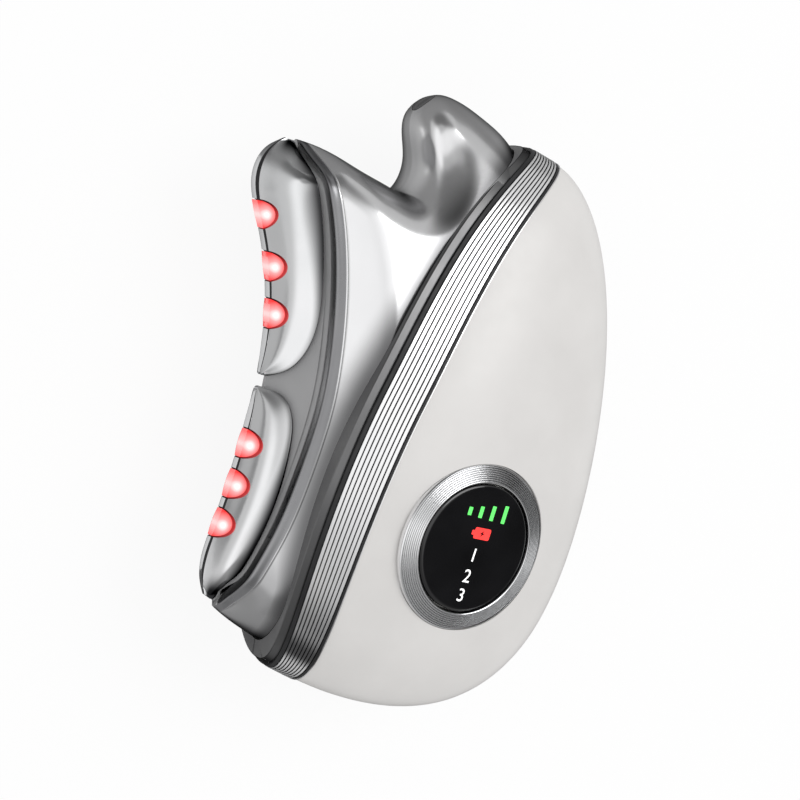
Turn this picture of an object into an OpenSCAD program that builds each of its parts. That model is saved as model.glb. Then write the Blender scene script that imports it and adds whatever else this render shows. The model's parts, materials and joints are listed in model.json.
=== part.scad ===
// Facial toning device: a one-hand scraping board with a chrome working head,
// a ribbed chrome band and a pale moulded grip with a round press display.
// Units are millimetres. The device lies on the flat of its back: Z is up and
// out of the display, Y runs along the device, X points from head to grip.
// Inside the Hidden section everything is drawn in the band's own axes:
// u from head to grip, v along the band, z out of the display, z = 0 being the
// middle plane where the front and back halves of the head meet.

/* [Grip] */
// Length of the chrome band from end to end, along v
band_len = 99.6; // [98:0.2:101]
// Depth of the device at the band, front to back
band_depth = 35.8; // [35.4:0.1:36.2]
// Reach of the grip beyond the band's ends, along u
grip_reach = 40.0; // [39:0.25:42]
// Wall of the moulded grip
grip_wall = 2.0; // [1.8:0.1:2.2]

/* [Band] */
// Width of the ribbed band at the front and back
band_w = 8.6; // [8.2:0.1:9]
// Width of the ribbed band at its two ends
band_end_w = 5.6; // [5.2:0.1:6]
// How far the band bows towards the head at the front and back
band_bow = 10.2; // [9.6:0.1:10.8]
// Number of ribs rolled into the band
band_ribs = 8; // [6:1:9]

/* [Head] */
// Half depth of the head where it meets the collar
neck_half = 16.2; // [15.9:0.1:16.3]
// Half thickness of the flat land along the working edge
land_half = 1.25; // [1.2:0.05:1.5]
// Wall of the chrome head shells
head_wall = 1.6; // [1.5:0.05:1.7]
// Length of each half-moon light lens along the working edge
lens_d = 5.4; // [5.2:0.1:5.6]

/* [Display] */
// Diameter of the black press display
display_d = 22.4; // [22:0.1:22.5]
// Outer diameter of the chrome bezel round the display
bezel_d = 29.6; // [29.2:0.1:29.8]
// Travel of the display when it is pressed
press_travel = 0.5; // [0.3:0.05:0.6]

/* [Battery] */
// Diameter of the round battery cell
cell_d = 12.0; // [11:0.1:12.4]
// Length of the round battery cell
cell_len = 40.0; // [34:0.5:40]

/* [Hidden] */

lean = 11;                  // the band leans this far from the device's long axis
rest_z = band_depth / 2 + 0.3;
ring_a = band_len / 2;
ring_b = band_depth / 2;
ring_n = 2.3;               // squareness of the band's oval
tip_v = -19;                // the grip's tip sits this far below the band's middle
band_proud = 0.25;          // the band stands out this far from grip and collar
eps = 0.01;

// ---------------------------------------------------------------- placing
// From the band's axes to the device's own axes, with the back flat at z = 0.
flat_u = 6.5;
flat_v = 0;
module place() {
    translate([0, 0, rest_z])
        rotate([0, 0, -lean])
            translate([-flat_u, -flat_v, 0])
                children();
}

// ---------------------------------------------------------------- helpers
function lerp(a, b, t) = a + (b - a) * t;
function unit01(x) = max(0, min(1, x));
function smooth01(x) = let(t = unit01(x)) t * t * (3 - 2 * t);
function spow(x, p) = sign(x) * pow(abs(x), p);
function flat_list(g) = [for (row = g) each row];

// A clamped cubic spline through hand-set control points, t from 0 to 1.
function with_ends(p) =
    concat([2 * p[0] - p[1]], p, [2 * p[len(p) - 1] - p[len(p) - 2]]);
function spline(p, t) =
    let(q = with_ends(p),
        k = len(q) - 3,
        x = unit01(t) * k,
        i = min(floor(x), k - 1),
        y = x - i)
    (q[i] * pow(1 - y, 3)
     + q[i + 1] * (3 * pow(y, 3) - 6 * pow(y, 2) + 4)
     + q[i + 2] * (-3 * pow(y, 3) + 3 * pow(y, 2) + 3 * y + 1)
     + q[i + 3] * pow(y, 3)) / 6;
function polyline(p, n) = [for (i = [0 : n]) spline(p, i / n)];

function seg_dist(p, a, b) =
    let(d = b - a,
        t = unit01((p - a) * d / (d * d)))
    norm(p - a - t * d);
function line_dist(p, c) = min([for (i = [1 : len(c) - 1]) seg_dist(p, c[i - 1], c[i])]);

// Two triangles for each cell of a grid of points whose first index is `at`, split
// along the cell's shorter diagonal.
function cell(a, b, c, d, turn) = turn ? [[a, b, c], [a, c, d]] : [[a, c, b], [a, d, c]];
function grid_faces(g, at, turn, wrap = false) =
    let(m = len(g[0]))
    [for (i = [0 : len(g) - 2]) for (j = [0 : m - (wrap ? 1 : 2)])
        let(k = (j + 1) % m,
            a = at + i * m + j,
            b = at + i * m + k,
            c = b + m,
            d = a + m)
        each norm(g[i][j] - g[i + 1][k]) > norm(g[i][k] - g[i + 1][j])
            ? cell(b, c, d, a, turn)
            : cell(a, b, c, d, turn)];

// A closed skin between an outer and an inner grid of the same size.
module slab(outer, inner, turn = false) {
    n = len(outer);
    m = len(outer[0]);
    b = n * m;
    low = [for (j = [0 : m - 2]) each cell(j, b + j, b + j + 1, j + 1, turn)];
    high = [for (j = [0 : m - 2])
        let(r = (n - 1) * m)
        each cell(r + j, r + j + 1, b + r + j + 1, b + r + j, turn)];
    left = [for (i = [0 : n - 2])
        each cell(i * m, (i + 1) * m, b + (i + 1) * m, b + i * m, turn)];
    right = [for (i = [0 : n - 2])
        let(c = m - 1)
        each cell(i * m + c, b + i * m + c, b + (i + 1) * m + c, (i + 1) * m + c, turn)];
    polyhedron(points = concat(flat_list(outer), flat_list(inner)),
               faces = concat(grid_faces(outer, 0, turn), grid_faces(inner, b, !turn),
                              low, high, left, right),
               convexity = 8);
}

// A closed ring: `loops` are closed profiles set one after another round it.
module ring_solid(loops, turn = false) {
    n = len(loops);
    m = len(loops[0]);
    closing = [for (j = [0 : m - 1])
        let(k = (j + 1) % m,
            r = (n - 1) * m)
        each cell(r + j, r + k, k, j, turn)];
    polyhedron(points = flat_list(loops),
               faces = concat(grid_faces(loops, 0, turn, true), closing), convexity = 8);
}

// ---------------------------------------------------------------- band and grip
// phi runs round the band: 0 at the front, 90 at the upper end, 180 at the back.
function bow(r) = band_bow * (1 - pow(abs(r), r < 0 ? 2 : 3.2));
function half_band(phi) = lerp(band_end_w, band_w, abs(cos(phi))) / 2;
function oval(phi) = [spow(sin(phi), 2 / ring_n), spow(cos(phi), 2 / ring_n)];
function ring_point(phi, grow, shift) =
    let(o = oval(phi))
    [shift - bow(o.x), (ring_a + grow) * o.x, (ring_b + grow) * o.y];

// Half depth of the grip at fraction f of its reach: the back is the fuller side.
function grip_half(f, back) = back
    ? ring_b * pow(1 - pow(f, 3), 1 / 2.2) + 14 * f * pow(1 - f, 2)
    : ring_b * pow(1 - pow(f, 1.8), 1 / 2) + 8 * f * pow(1 - f, 3);
function grip_point(f, phi, inset) =
    let(o = oval(phi),
        a = (ring_a - inset) * pow(1 - pow(f, 1.8), 1 / 1.75),
        c = tip_v * pow(f, 1.8),
        b = max(0.05, grip_half(f, o.y < 0) - inset * pow(1 - pow(f, 4), 0.5)),
        u0 = half_band(phi) - bow(o.x))
    [lerp(u0, grip_reach - inset, f), c + a * o.x, b * o.y];

grip_rows = 17;
grip_cols = 44;
grip_f = [for (i = [0 : grip_rows]) sin(88.5 * i / grip_rows)];
function grip_rings(inset, floor_z) =
    [for (f = grip_f) [for (j = [0 : grip_cols - 1])
        let(p = grip_point(f, 360 * j / grip_cols, inset))
        [p.x, p.y, max(p.z, floor_z)]]];

module grip_cup() {
    outer = grip_rings(0, -100);
    inner = grip_rings(grip_wall, grip_wall - rest_z);
    n = len(outer);
    m = grip_cols;
    b = n * m;
    tip_out = 2 * b;
    tip_in = 2 * b + 1;
    rim = [for (j = [0 : m - 1])
        let(k = (j + 1) % m)
        each cell(j, b + j, b + k, k, true)];
    caps = [for (j = [0 : m - 1])
        let(k = (j + 1) % m,
            r = (n - 1) * m)
        each [[r + j, r + k, tip_out], [b + r + k, b + r + j, tip_in]]];
    polyhedron(points = concat(flat_list(outer), flat_list(inner),
                               [[grip_reach + 0.05, tip_v, 0],
                                [grip_reach - grip_wall + 0.05, tip_v, 0]]),
               faces = concat(grid_faces(outer, 0, true, true),
                              grid_faces(inner, b, false, true), rim, caps),
               convexity = 8);
}

// Where the head's neck ends against the band, as u of v.
function neck_end(v) =
    let(r = v / ring_a)
    -bow(r) - half_band(asin(spow(r, ring_n / 2))) - 0.05;

// ---------------------------------------------------------------- head outline
// Working edge from its lower corner to the shoulder, in (u, v).
edge_curve = [[-18.4, -44.4], [-21.0, -41.8], [-22.4, -37.5], [-22.9, -32], [-24.0, -24.5],
              [-25.9, -15], [-28.3, -6], [-31.4, 2.5], [-35.9, 10.2], [-41.3, 16.5],
              [-45.8, 21.3], [-46.2, 26.5], [-43.8, 28.9]];
// Line where the pads' carrier ends and the chrome head begins, same direction.
seam_curve = [[-16.4, -45.2], [-15.8, -41.6], [-16.1, -36], [-16.4, -28.5], [-17.4, -21],
              [-18.6, -13.5], [-20.0, -6.5], [-22.4, 0.8], [-25.5, 8], [-29.3, 15.0],
              [-33.3, 21.0], [-37.2, 25.5], [-40.4, 28.4], [-42.4, 29.6]];
// Lower outline from the carrier to the collar.
foot_curve = [[-18.4, -44.4], [-16.4, -45.2], [-13.2, -45.9], [-10.2, -46.3], [-7, -46.6],
              [neck_end(-46.8), -46.8]];
// Upper outline: shoulder, notch, prong and collar. Each point is paired with one
// of base_curve, a line inside the head, so that the skin fans out into the prong.
crown_curve = [[-42.4, 29.6], [-38, 30.9], [-30, 31.4], [-24, 31.7], [-20.8, 31.3],
               [-19.6, 34.0], [-20.6, 38], [-23.8, 41.5], [-25.6, 45.4], [-23.4, 50.0],
               [-18.4, 50.9], [-13, 50.2], [-9, 49.6], [-6, 48.2], [neck_end(47.4), 47.4]];
base_curve = [[-38.0, 26.2], [-34, 26.8], [-28, 27.0], [-23, 27.0], [-19.8, 27.2],
              [-17.8, 27.8], [-16.4, 28.6], [-15.4, 29.4], [-14.4, 30.2], [-13.4, 31.2],
              [-12.4, 32.2], [-11.5, 33.4], [-10.7, 34.6], [-10, 35.8],
              [neck_end(36.8), 36.8]];

edge_line = polyline(edge_curve, 52);
outline_low = polyline(foot_curve, 10);
outline_high = concat([spline(edge_curve, 1)], polyline(crown_curve, 60));

// Half depth of the head over the point p = (u, v) of its middle plane: it rises
// from the land of the working edge, follows the band's oval and rounds off at
// the upper and lower outlines. A thumb scoop hollows the root of the prong.
edge_run = 17;
round_r = 8;
scoop_at = [-18.6, 40];
scoop_deep = 1.5;
function head_plain(p) =
    let(e = line_dist(p, edge_line),
        d = min(line_dist(p, outline_low), line_dist(p, outline_high)),
        run = edge_run - 3 * smooth01((-p.y + 5) / 40),
        rise = 1 - pow(1 - min(e, run) / run, 1.6),
        reach = p.y < 0 ? 49.4 : 51.8,
        oval_fall = pow(max(0, 1 - pow(abs(p.y) / reach, ring_n)), 1 / ring_n),
        edge_fall = pow(1 - pow(1 - min(d, round_r) / round_r, 2.2), 1 / 2.2))
    lerp(land_half, neck_half, rise) * oval_fall * edge_fall;
function scoop_fall(p) =
    let(s = [(p.x - scoop_at.x) / 4.2, (p.y - scoop_at.y) / 6.5])
    scoop_deep * exp(-s * s) * smooth01(line_dist(p, outline_high) / 4);
function head_half(p) = max(0, head_plain(p) - scoop_fall(p));
function head_point(p) = [p.x, p.y, head_half(p)];

// Carrier side, x = 0 at the working edge and 1 at the seam.
function side_plan(x, w) = lerp(spline(edge_curve, w), spline(seam_curve, w), x);
// Chrome side, s = 0 at the seam and 1 inside the collar.
fan_w = 0.8;
function flank_end(w) =
    let(v = lerp(-46.8, 36.8, w / fan_w))
    [neck_end(v), v];
function body_plan(s, w) = w <= fan_w
    ? let(x = w / fan_w,
          seam = spline(seam_curve, lerp(0, 0.84, x)),
          foot = spline(foot_curve, lerp(0.2, 1, s)),
          base = spline(base_curve, s),
          line = lerp(seam, flank_end(w), s),
          line0 = lerp(spline(seam_curve, 0), flank_end(0), s),
          line1 = lerp(spline(seam_curve, 0.84), flank_end(fan_w), s))
      line + (foot - line0) * pow(1 - x, 3) + (base - line1) * pow(x, 4)
    : let(x = (w - fan_w) / (1 - fan_w),
          seam_fix = spline(seam_curve, lerp(0.84, 1, x))
                     - lerp(spline(base_curve, 0), spline(crown_curve, 0), x))
      lerp(spline(base_curve, s), spline(crown_curve, s), x) + seam_fix * pow(1 - s, 6);

// A point of a surface sunk by `deep` along its own normal.
function surface_normal(f, a, b) =
    let(h = 0.04,
        da = f(min(1, a + h), b) - f(max(0, a - h), b),
        db = f(a, min(1, b + h)) - f(a, max(0, b - h)),
        c = cross(da, db))
    c / max(1e-9, norm(c));
function sunk(f, a, b, deep, low) =
    let(q = f(a, b) - deep * surface_normal(f, a, b))
    [q.x, q.y, max(q.z, low)];

function side_skin() = function(x, w) head_point(side_plan(x, w));
function body_skin() = function(s, w) head_point(body_plan(s, w));
// Upward part of the skin's unit normal over the point p.
function up_part(p) =
    let(h = 0.3,
        a = (head_half(p + [h, 0]) - head_half(p - [h, 0])) / (2 * h),
        b = (head_half(p + [0, h]) - head_half(p - [0, h])) / (2 * h))
    1 / sqrt(1 + a * a + b * b);

// Rows across the head, closer together towards the rounded outlines.
function spread(t) = (1 - cos(180 * t)) / 2;
function rows(n) = [for (i = [0 : n]) lerp(i / n, spread(i / n), 0.75)];

// ---------------------------------------------------------------- head shells
bead_at = [0, 0.35, 1.0, 1.4];
bead_up = [0, 0.32, 0.32, 0];
body_cols = 18;
body_rows = 26;
function body_s(i, w) =
    let(run = norm(body_plan(1, w) - body_plan(0, w)),
        k = len(bead_at),
        t = (i - k + 1) / (body_cols - k + 1))
    i < k ? bead_at[i] / run
          : lerp(bead_at[k - 1] / run, 1, t + 0.05 * sin(360 * t));
function body_outer() =
    let(f = body_skin())
    [for (w = rows(body_rows)) [for (i = [0 : body_cols])
        let(up = i < len(bead_up) ? bead_up[i] : 0,
            p = sunk(f, body_s(i, w), w, -up, 0))
        w == 0 || w == 1 ? [p.x, p.y, 0] : p]];
// The inner face lies one wall under the skin and one wall inside both outlines.
function inset_low(s) = 0.1 * head_wall / norm(body_plan(s, 0.1) - body_plan(s, 0));
function inset_high(s) =
    (1 - fan_w) * head_wall / norm(body_plan(s, 1) - body_plan(s, fan_w));
function body_inner() =
    [for (w = rows(body_rows)) [for (i = [0 : body_cols])
        let(s = body_s(i, w),
            p = body_plan(s, lerp(inset_low(s), 1 - inset_high(s), w)),
            wall = head_wall / max(0.3, up_part(p)))
        [p.x, p.y, w == 0 || w == 1 ? 0 : max(0, head_half(p) - wall)]]];
module head_half_shell() {
    slab(body_outer(), body_inner());
}

// ---------------------------------------------------------------- edge carrier
seat_deep = 1.5;            // the pads' seat lies this far under the skin
side_x = [0, 0.2, 0.45, 0.7, 0.88, 1];
side_rows = 24;
seam_gap = 0.7;
lip_reach = 1.4;
// A point `beyond` the seam in plan, sunk straight down by a wall `deep` thick.
function rim_point(w, deep, low, beyond) =
    let(d = side_plan(1, w) - side_plan(0, w),
        p = side_plan(1, w) + d / norm(d) * beyond)
    [p.x, p.y, max(low, head_half(p) - deep / max(0.3, up_part(p)))];
// One row over the front of the carrier, from the lip under the chrome to the edge.
function lip_at(w) = lip_reach * smooth01(8 * w - 0.4) * smooth01(8 * (1 - w) - 0.4) - 0.3;
// It ends `inset` short of the edge, so that inner and outer rows never cross.
function side_row(w, deep, lip_deep, low, inset) =
    let(run = norm(side_plan(1, w) - side_plan(0, w)),
        gap = min(seam_gap, 0.3 * run),
        last = max(0.6 * run, run - inset))
    concat([rim_point(w, lip_deep, low, lip_at(w)),
            rim_point(w, lip_deep, low, 0.1 - gap)],
           [for (x = side_x) rim_point(w, deep, low, -lerp(gap, last, x))]);
function mirrored(row) = [for (i = [len(row) - 1 : -1 : 0]) [row[i].x, row[i].y, -row[i].z]];
function both_sides(row) = concat(row, mirrored(row));
carrier_rows = [for (i = [0 : side_rows]) lerp(0.04, 0.96, spread(i / side_rows) * 0.6
                                                        + i / side_rows * 0.4)];
module edge_carrier() {
    outer = [for (w = carrier_rows) both_sides(side_row(w, seat_deep, head_wall + 0.15, 0.3, 1.35))];
    inner = [for (w = carrier_rows) both_sides(side_row(w, 3.2, 3.2, 0.2, 3))];
    slab(outer, inner, true);
}

// ---------------------------------------------------------------- electrodes
// Inner borders of the two pads, from the lower end up.
pad_low_curve = [[-17.2, -44.4], [-16.9, -40], [-17.2, -34], [-17.6, -28], [-18.5, -22],
                 [-19.6, -17.4], [-21.0, -12.6], [-22.6, -9.6], [-24.6, -7.8], [-27.8, -8.8]];
pad_high_curve = [[-28.2, -7.0], [-25.7, -5.2], [-24.8, -1.8], [-25.2, 3.0], [-27.2, 8.4],
                  [-30.4, 14.6], [-34.4, 20.8], [-38.3, 25.1], [-41.2, 27.6], [-43.5, 28.3]];
pad_rows = 16;
pad_x = [0.98, 0.88, 0.66, 0.4, 0.18, 0];
pad_edge_drop = 0.85;       // the pillow falls this far at its border
pad_swell = 0.35;           // and swells this far over the skin
pad_deep = 1.3;             // its underside lies this far under the skin
pad_tuck = 0.08;            // and is drawn in from the border by this share
function pad_plan(border, w0, w1) = function(x, q)
    lerp(spline(edge_curve, lerp(w0, w1, q)), spline(border, q), x);
function pad_crown(x, q) =
    sqrt(max(0, 1 - pow(x, 5))) * sqrt(max(0, 1 - pow(abs(2 * q - 1), 9)));
module pad(border, w0, w1) {
    plan = pad_plan(border, w0, w1);
    f = function(x, q) head_point(plan(x, q));
    qs = [for (i = [0 : pad_rows]) lerp(0.015, 0.985, spread(i / pad_rows) * 0.7
                                                    + i / pad_rows * 0.3)];
    outer = [for (q = qs) both_sides([for (x = pad_x)
        let(c = pad_crown(x, q))
        sunk(f, x, q, lerp(pad_edge_drop, -pad_swell * sin(180 * min(1, x)), c), 0.45)])];
    inner = [for (q = qs) both_sides([for (x = pad_x)
        sunk(f, x * (1 - pad_tuck), q, pad_deep, 0.36)])];
    slab(outer, inner, true);
}

// ---------------------------------------------------------------- light lenses
// Half-moon lenses through the working edge: flat in line with the land, round
// inside, and following the pads' slope with a slight swell. Places along the edge:
lens_high = [0.589, 0.665, 0.758];
lens_low = [0.242, 0.321, 0.387];
lens_swell = 0.7;
lens_out = 0.7;             // the lenses' round is centred this far outside the edge
function edge_dir(t) =
    let(d = spline(edge_curve, t + 0.01) - spline(edge_curve, t - 0.01))
    d / norm(d);
function lens_row(t, q) =
    let(r = lens_d / 2,
        d = edge_dir(t),
        m = [d.y, -d.x],
        c = spline(edge_curve, t) - 0.03 * m)
    [for (x = [1, 0.85, 0.6, 0.25, 0])
        let(p = c + r * q * d + x * (r * sqrt(1 - q * q) - lens_out) * m,
            up = lens_swell * (1 - q * q) * (1 - pow(x, 4)) * smooth01(x * 3 + 0.2))
        [p.x, p.y, head_half(p) + up]];
module lens(t) {
    front = [for (q = [-0.95, -0.85, -0.6, -0.3, 0, 0.3, 0.6, 0.85, 0.95]) lens_row(t, q)];
    back = [for (row = front) [for (p = row) [p.x, p.y, -p.z]]];
    slab(front, back, true);
}
module lens_cut(t) {
    d = edge_dir(t);
    p = spline(edge_curve, t) - lens_out * [d.y, -d.x];
    translate([p.x, p.y, -12])
        cylinder(d = lens_d + 0.12, h = 24, $fn = 48);
}

// ---------------------------------------------------------------- parts: body
module grip_shell() {
    color("gainsboro")
        place()
            difference() {
                grip_cup();
                translate([-60, -80, -rest_z - 20])
                    cube([140, 160, 20]);
                on_display() {
                    translate([0, 0, flange_low])
                        cylinder(d = bezel_d + 0.1, h = 14, $fn = 72);
                    translate([0, 0, -8])
                        cylinder(r = skirt_r + 0.05, h = 20, $fn = 72);
                }
                at_port()
                    translate([0, 0, -14])
                        port_bar(port_w + 0.5, port_t + 0.5, 20);
            }
}

// One cut through the band: ribs outside, plain inside, borders left flat.
function band_profile(phi) =
    let(w = half_band(phi),
        border = 0.8,
        pitch = 2 * (w - border) / band_ribs,
        at = function(x, grow) ring_point(phi, grow, x))
    concat([at(-w, -0.9), at(-w, band_proud - 0.15), at(-w + 0.15, band_proud)],
           [for (k = [0 : band_ribs]) for (side = [-1, 0, 1])
               if (!(k == 0 && side == -1) && !(k == band_ribs && side == 1))
                   at(-w + border + k * pitch + side * 0.12,
                      side == 0 ? band_proud - 0.28 : band_proud)],
           [at(w - 0.15, band_proud), at(w, band_proud - 0.15), at(w, -0.9)]);
band_steps = 46;
module ribbed_band() {
    color("silver")
        place()
            ring_solid([for (i = [0 : band_steps - 1]) band_profile(360 * i / band_steps)]);
}

// The flange between band and head, open in the middle for the head's neck.
collar_t = 1.6;
neck_gap = 0.12;
neck_reach = [[-46.8, 47.4], [-46.9, 48.1]];
collar_steps = 30;
// The head's cross-section on the collar's band side (0) and head side (1).
function neck_curve(t, side) =
    let(reach = neck_reach[side],
        v = lerp(reach[0], reach[1], spread(t)))
    [v, head_half([neck_end(v) - side * collar_t, v])];
function neck_hole(t, side, mirrored) =
    let(c = neck_curve(t, side),
        d = neck_curve(min(1, t + 0.01), side) - neck_curve(max(0, t - 0.01), side),
        m = [-d.y, d.x] / norm(d) * neck_gap,
        z = max(neck_gap, c.y + m.y))
    [neck_end(c.x) + 0.05 - side * collar_t, c.x + m.x, mirrored ? -z : z];
function collar_loop(t, back) =
    let(phi = lerp(-90, 90, t),
        o = ring_point(phi, -0.35, 0),
        z = back ? -o.z : o.z,
        w = half_band(phi) + 0.02)
    [[o.x - w, o.y, z],
     [o.x - w - collar_t, o.y, z],
     neck_hole(t, 1, back),
     neck_hole(t, 0, back)];
module neck_collar() {
    loops = concat([for (i = [0 : collar_steps]) collar_loop(i / collar_steps, false)],
                   [for (i = [collar_steps - 1 : -1 : 1])
                       collar_loop(i / collar_steps, true)]);
    color("darkgray")
        place()
            ring_solid(loops, true);
}

// Each half of the head has sockets for the dowels that line the halves up, and
// two bosses that clamp the chassis tongue when the halves are joined.
dowel_d = 2;
dowel_at = [[-32.5, 26.8], [-17, 36], [-11, -40]];
tie_at = [[-12.5, -8], [-12.5, 8]];
function lowest_round(p, r) =
    min([for (t = [0 : 45 : 315]) head_half(p + r * [cos(t), sin(t)])]);
module boss(p, d, low) {
    translate([p.x, p.y, low])
        cylinder(d = d, h = lowest_round(p, d / 2) - head_wall / 2 - low, $fn = 24);
}
module head_half_part(tie_low) {
    difference() {
        union() {
            head_half_shell();
            for (p = dowel_at)
                boss(p, 4, 0);
            for (p = tie_at)
                boss(p, 5, tie_low);
        }
        for (p = dowel_at)
            translate([p.x, p.y, -1])
                cylinder(d = dowel_d, h = 3.5, $fn = 24);
        at_plug()
            translate([0, 0, -1.5])
                cylinder(d = plug_d + 0.1, h = 6, $fn = 32);
    }
}
module head_shell_front() {
    color("silver")
        place()
            head_half_part(tray_top);
}
module head_shell_back() {
    color("lightgray")
        place()
            mirror([0, 0, 1])
                head_half_part(-tray_low);
}
// The carrier of pads, lenses and light board, with posts that hold the board.
perch_at = [0.18, 0.45, 0.54, 0.71, 0.83];
perch_in = 5.4;             // distance of each post's axis from the working edge
module perch(w) {
    e = spline(edge_curve, w);
    d = side_plan(1, w) - e;
    p = e + d / norm(d) * perch_in;
    for (side = [0, 1])
        mirror([0, 0, side])
            translate([p.x, p.y, board_t / 2])
                cylinder(d = 1.4, h = head_half(p) - 3.4 - board_t / 2, $fn = 16);
}
module edge_frame() {
    color("dimgray")
        place()
            difference() {
                union() {
                    edge_carrier();
                    for (w = perch_at)
                        perch(w);
                }
                for (t = concat(lens_high, lens_low))
                    lens_cut(t);
                for (q = pin_at)
                    translate([q.x, q.y, 0])
                        cylinder(d = pin_d + 0.4, h = 12, $fn = 24);
            }
}
module electrode_upper() {
    color("whitesmoke")
        place()
            difference() {
                pad(pad_high_curve, 0.49, 0.975);
                for (t = lens_high)
                    lens_cut(t);
            }
}
module electrode_lower() {
    color("whitesmoke")
        place()
            difference() {
                pad(pad_low_curve, 0.02, 0.472);
                for (t = lens_low)
                    lens_cut(t);
            }
}
module lenses_upper() {
    color("red")
        place()
            for (t = lens_high)
                lens(t);
}
module lenses_lower() {
    color("red")
        place()
            for (t = lens_low)
                lens(t);
}

// ---------------------------------------------------------------- parts: head inside
plug_d = 4.4;
plug_at = [-24.6, 45.4, 0];
module at_plug() {
    translate(plug_at)
        rotate([0, 90, 0])
            children();
}
module prong_plug() {
    color("black")
        place()
            at_plug()
                cylinder(d = plug_d, h = 3, $fn = 32);
}
module head_dowels() {
    color("slategray")
        place()
            for (p = dowel_at)
                translate([p.x, p.y, -2.4])
                    cylinder(d = dowel_d, h = 4.8, $fn = 24);
}
board_t = 1.0;
board_near = 4.3;           // the light board starts this far inside the edge
board_far = 7.6;
board_span = [0.17, 0.83];  // and runs along this stretch of it
light_board_rows = 14;
module light_board() {
    near = [for (i = [0 : light_board_rows])
        let(w = lerp(board_span[0], board_span[1], i / light_board_rows),
            e = spline(edge_curve, w),
            d = side_plan(1, w) - e)
        e + d / norm(d) * board_near];
    far = [for (i = [light_board_rows : -1 : 0])
        let(w = lerp(board_span[0], board_span[1], i / light_board_rows),
            e = spline(edge_curve, w),
            d = side_plan(1, w) - e)
        e + d / norm(d) * board_far];
    color("darkgreen")
        place()
            translate([0, 0, -board_t / 2])
                linear_extrude(board_t)
                    polygon(concat(near, far));
}
module at_edge(t) {
    p = spline(edge_curve, t);
    d = edge_dir(t);
    translate([p.x, p.y, 0])
        rotate([0, 0, atan2(d.y, d.x)])
            children();
}
module light_chips() {
    color("ivory")
        place()
            for (t = concat(lens_high, lens_low))
                at_edge(t)
                    translate([-1, -5.9, board_t / 2])
                        cube([2, 1.4, 0.8]);
}
// Round-nosed sprung pins from the light board up to the inside of each pad.
pin_d = 1.2;
pin_at = [[-29.3, 9.0], [-18.2, -28.7]];
module contact_pins() {
    color("gold")
        place()
            for (p = pin_at)
                let(nose = head_half(p) - (pad_deep + pin_d / 2) / up_part(p)) {
                    translate([p.x, p.y, board_t / 2])
                        cylinder(d = pin_d, h = nose - board_t / 2, $fn = 24);
                    translate([p.x, p.y, nose])
                        sphere(d = pin_d, $fn = 24);
                }
}

// ---------------------------------------------------------------- display
// The display's own axis leans out of the grip: z = 0 lies on the grip's skin.
display_at = [15.2, -16.4, 15.6];
display_lean = 15;
display_dip = 2.5;
module on_display() {
    translate(display_at)
        rotate([display_dip, display_lean, 0])
            children();
}
bezel_r = bezel_d / 2;
lens_r = display_d / 2;
bore_r = lens_r + 0.3;
bezel_fall = 0.9;           // the bezel drops this much from its bore to its rim
bezel_rings = 8;
flange_low = -1.6;          // the bezel's flange seats on a step in the grip
skirt_r = 14.2;
module bezel_ring() {
    run = bezel_r - bore_r;
    step = (run - 0.5) / bezel_rings;
    top = function(r) 0.25 - bezel_fall * (r - bore_r) / run;
    crest = [for (k = [0 : bezel_rings - 1]) each
        let(r = bore_r + 0.25 + k * step)
        [[r, top(r)], [r + step * 0.62, top(r + step * 0.62)], [r + step * 0.81, top(r) - 0.22]]];
    color("silver")
        place()
            on_display()
                rotate_extrude($fn = 96)
                    polygon(concat([[bore_r, 0.1]], crest,
                                   [[bezel_r - 0.25, top(bezel_r)], [bezel_r, top(bezel_r) - 0.25],
                                    [bezel_r, flange_low], [skirt_r, flange_low],
                                    [skirt_r, -4.6], [12.8, -4.6], [12.8, -2.0],
                                    [bore_r, -2.0]]));
}
module display_lens() {
    color("black")
        place()
            on_display()
                rotate_extrude($fn = 96)
                    polygon([[0, -1.2], [lens_r, -1.2], [lens_r, -0.25], [lens_r - 0.2, -0.05],
                             [lens_r - 3, 0.06], [0, 0.12]]);
}
// The white carrier glued under the display, with the stem that meets the switch.
stem_low = -4.05;
module lens_carrier() {
    color("white")
        place()
            on_display()
                difference() {
                    union() {
                        translate([0, 0, -2.1])
                            cylinder(r = lens_r, h = 0.9, $fn = 96);
                        translate([0, 0, -2.9])
                            cylinder(r = 12.4, h = 0.8, $fn = 96);
                        translate([0, 0, stem_low])
                            cylinder(r = 1.6, h = 1.5, $fn = 32);
                    }
                    for (p = light_at)
                        translate([p.x - 1.1, p.y - 0.9, -4])
                            cube([2.2, 1.8, 2.7]);
                }
}
board_top = -7.0;
module display_frame() {
    color("silver")
        place()
            on_display()
                rotate_extrude($fn = 96)
                    polygon([[12.0, -4.6], [skirt_r, -4.6], [skirt_r, -9.2], [9.0, -9.2],
                             [9.0, -8.2], [12.0, -8.2]]);
}
module display_board() {
    color("darkgreen")
        place()
            on_display()
                translate([0, 0, board_top - 1.2])
                    cylinder(r = 11.9, h = 1.2, $fn = 72);
}
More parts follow.
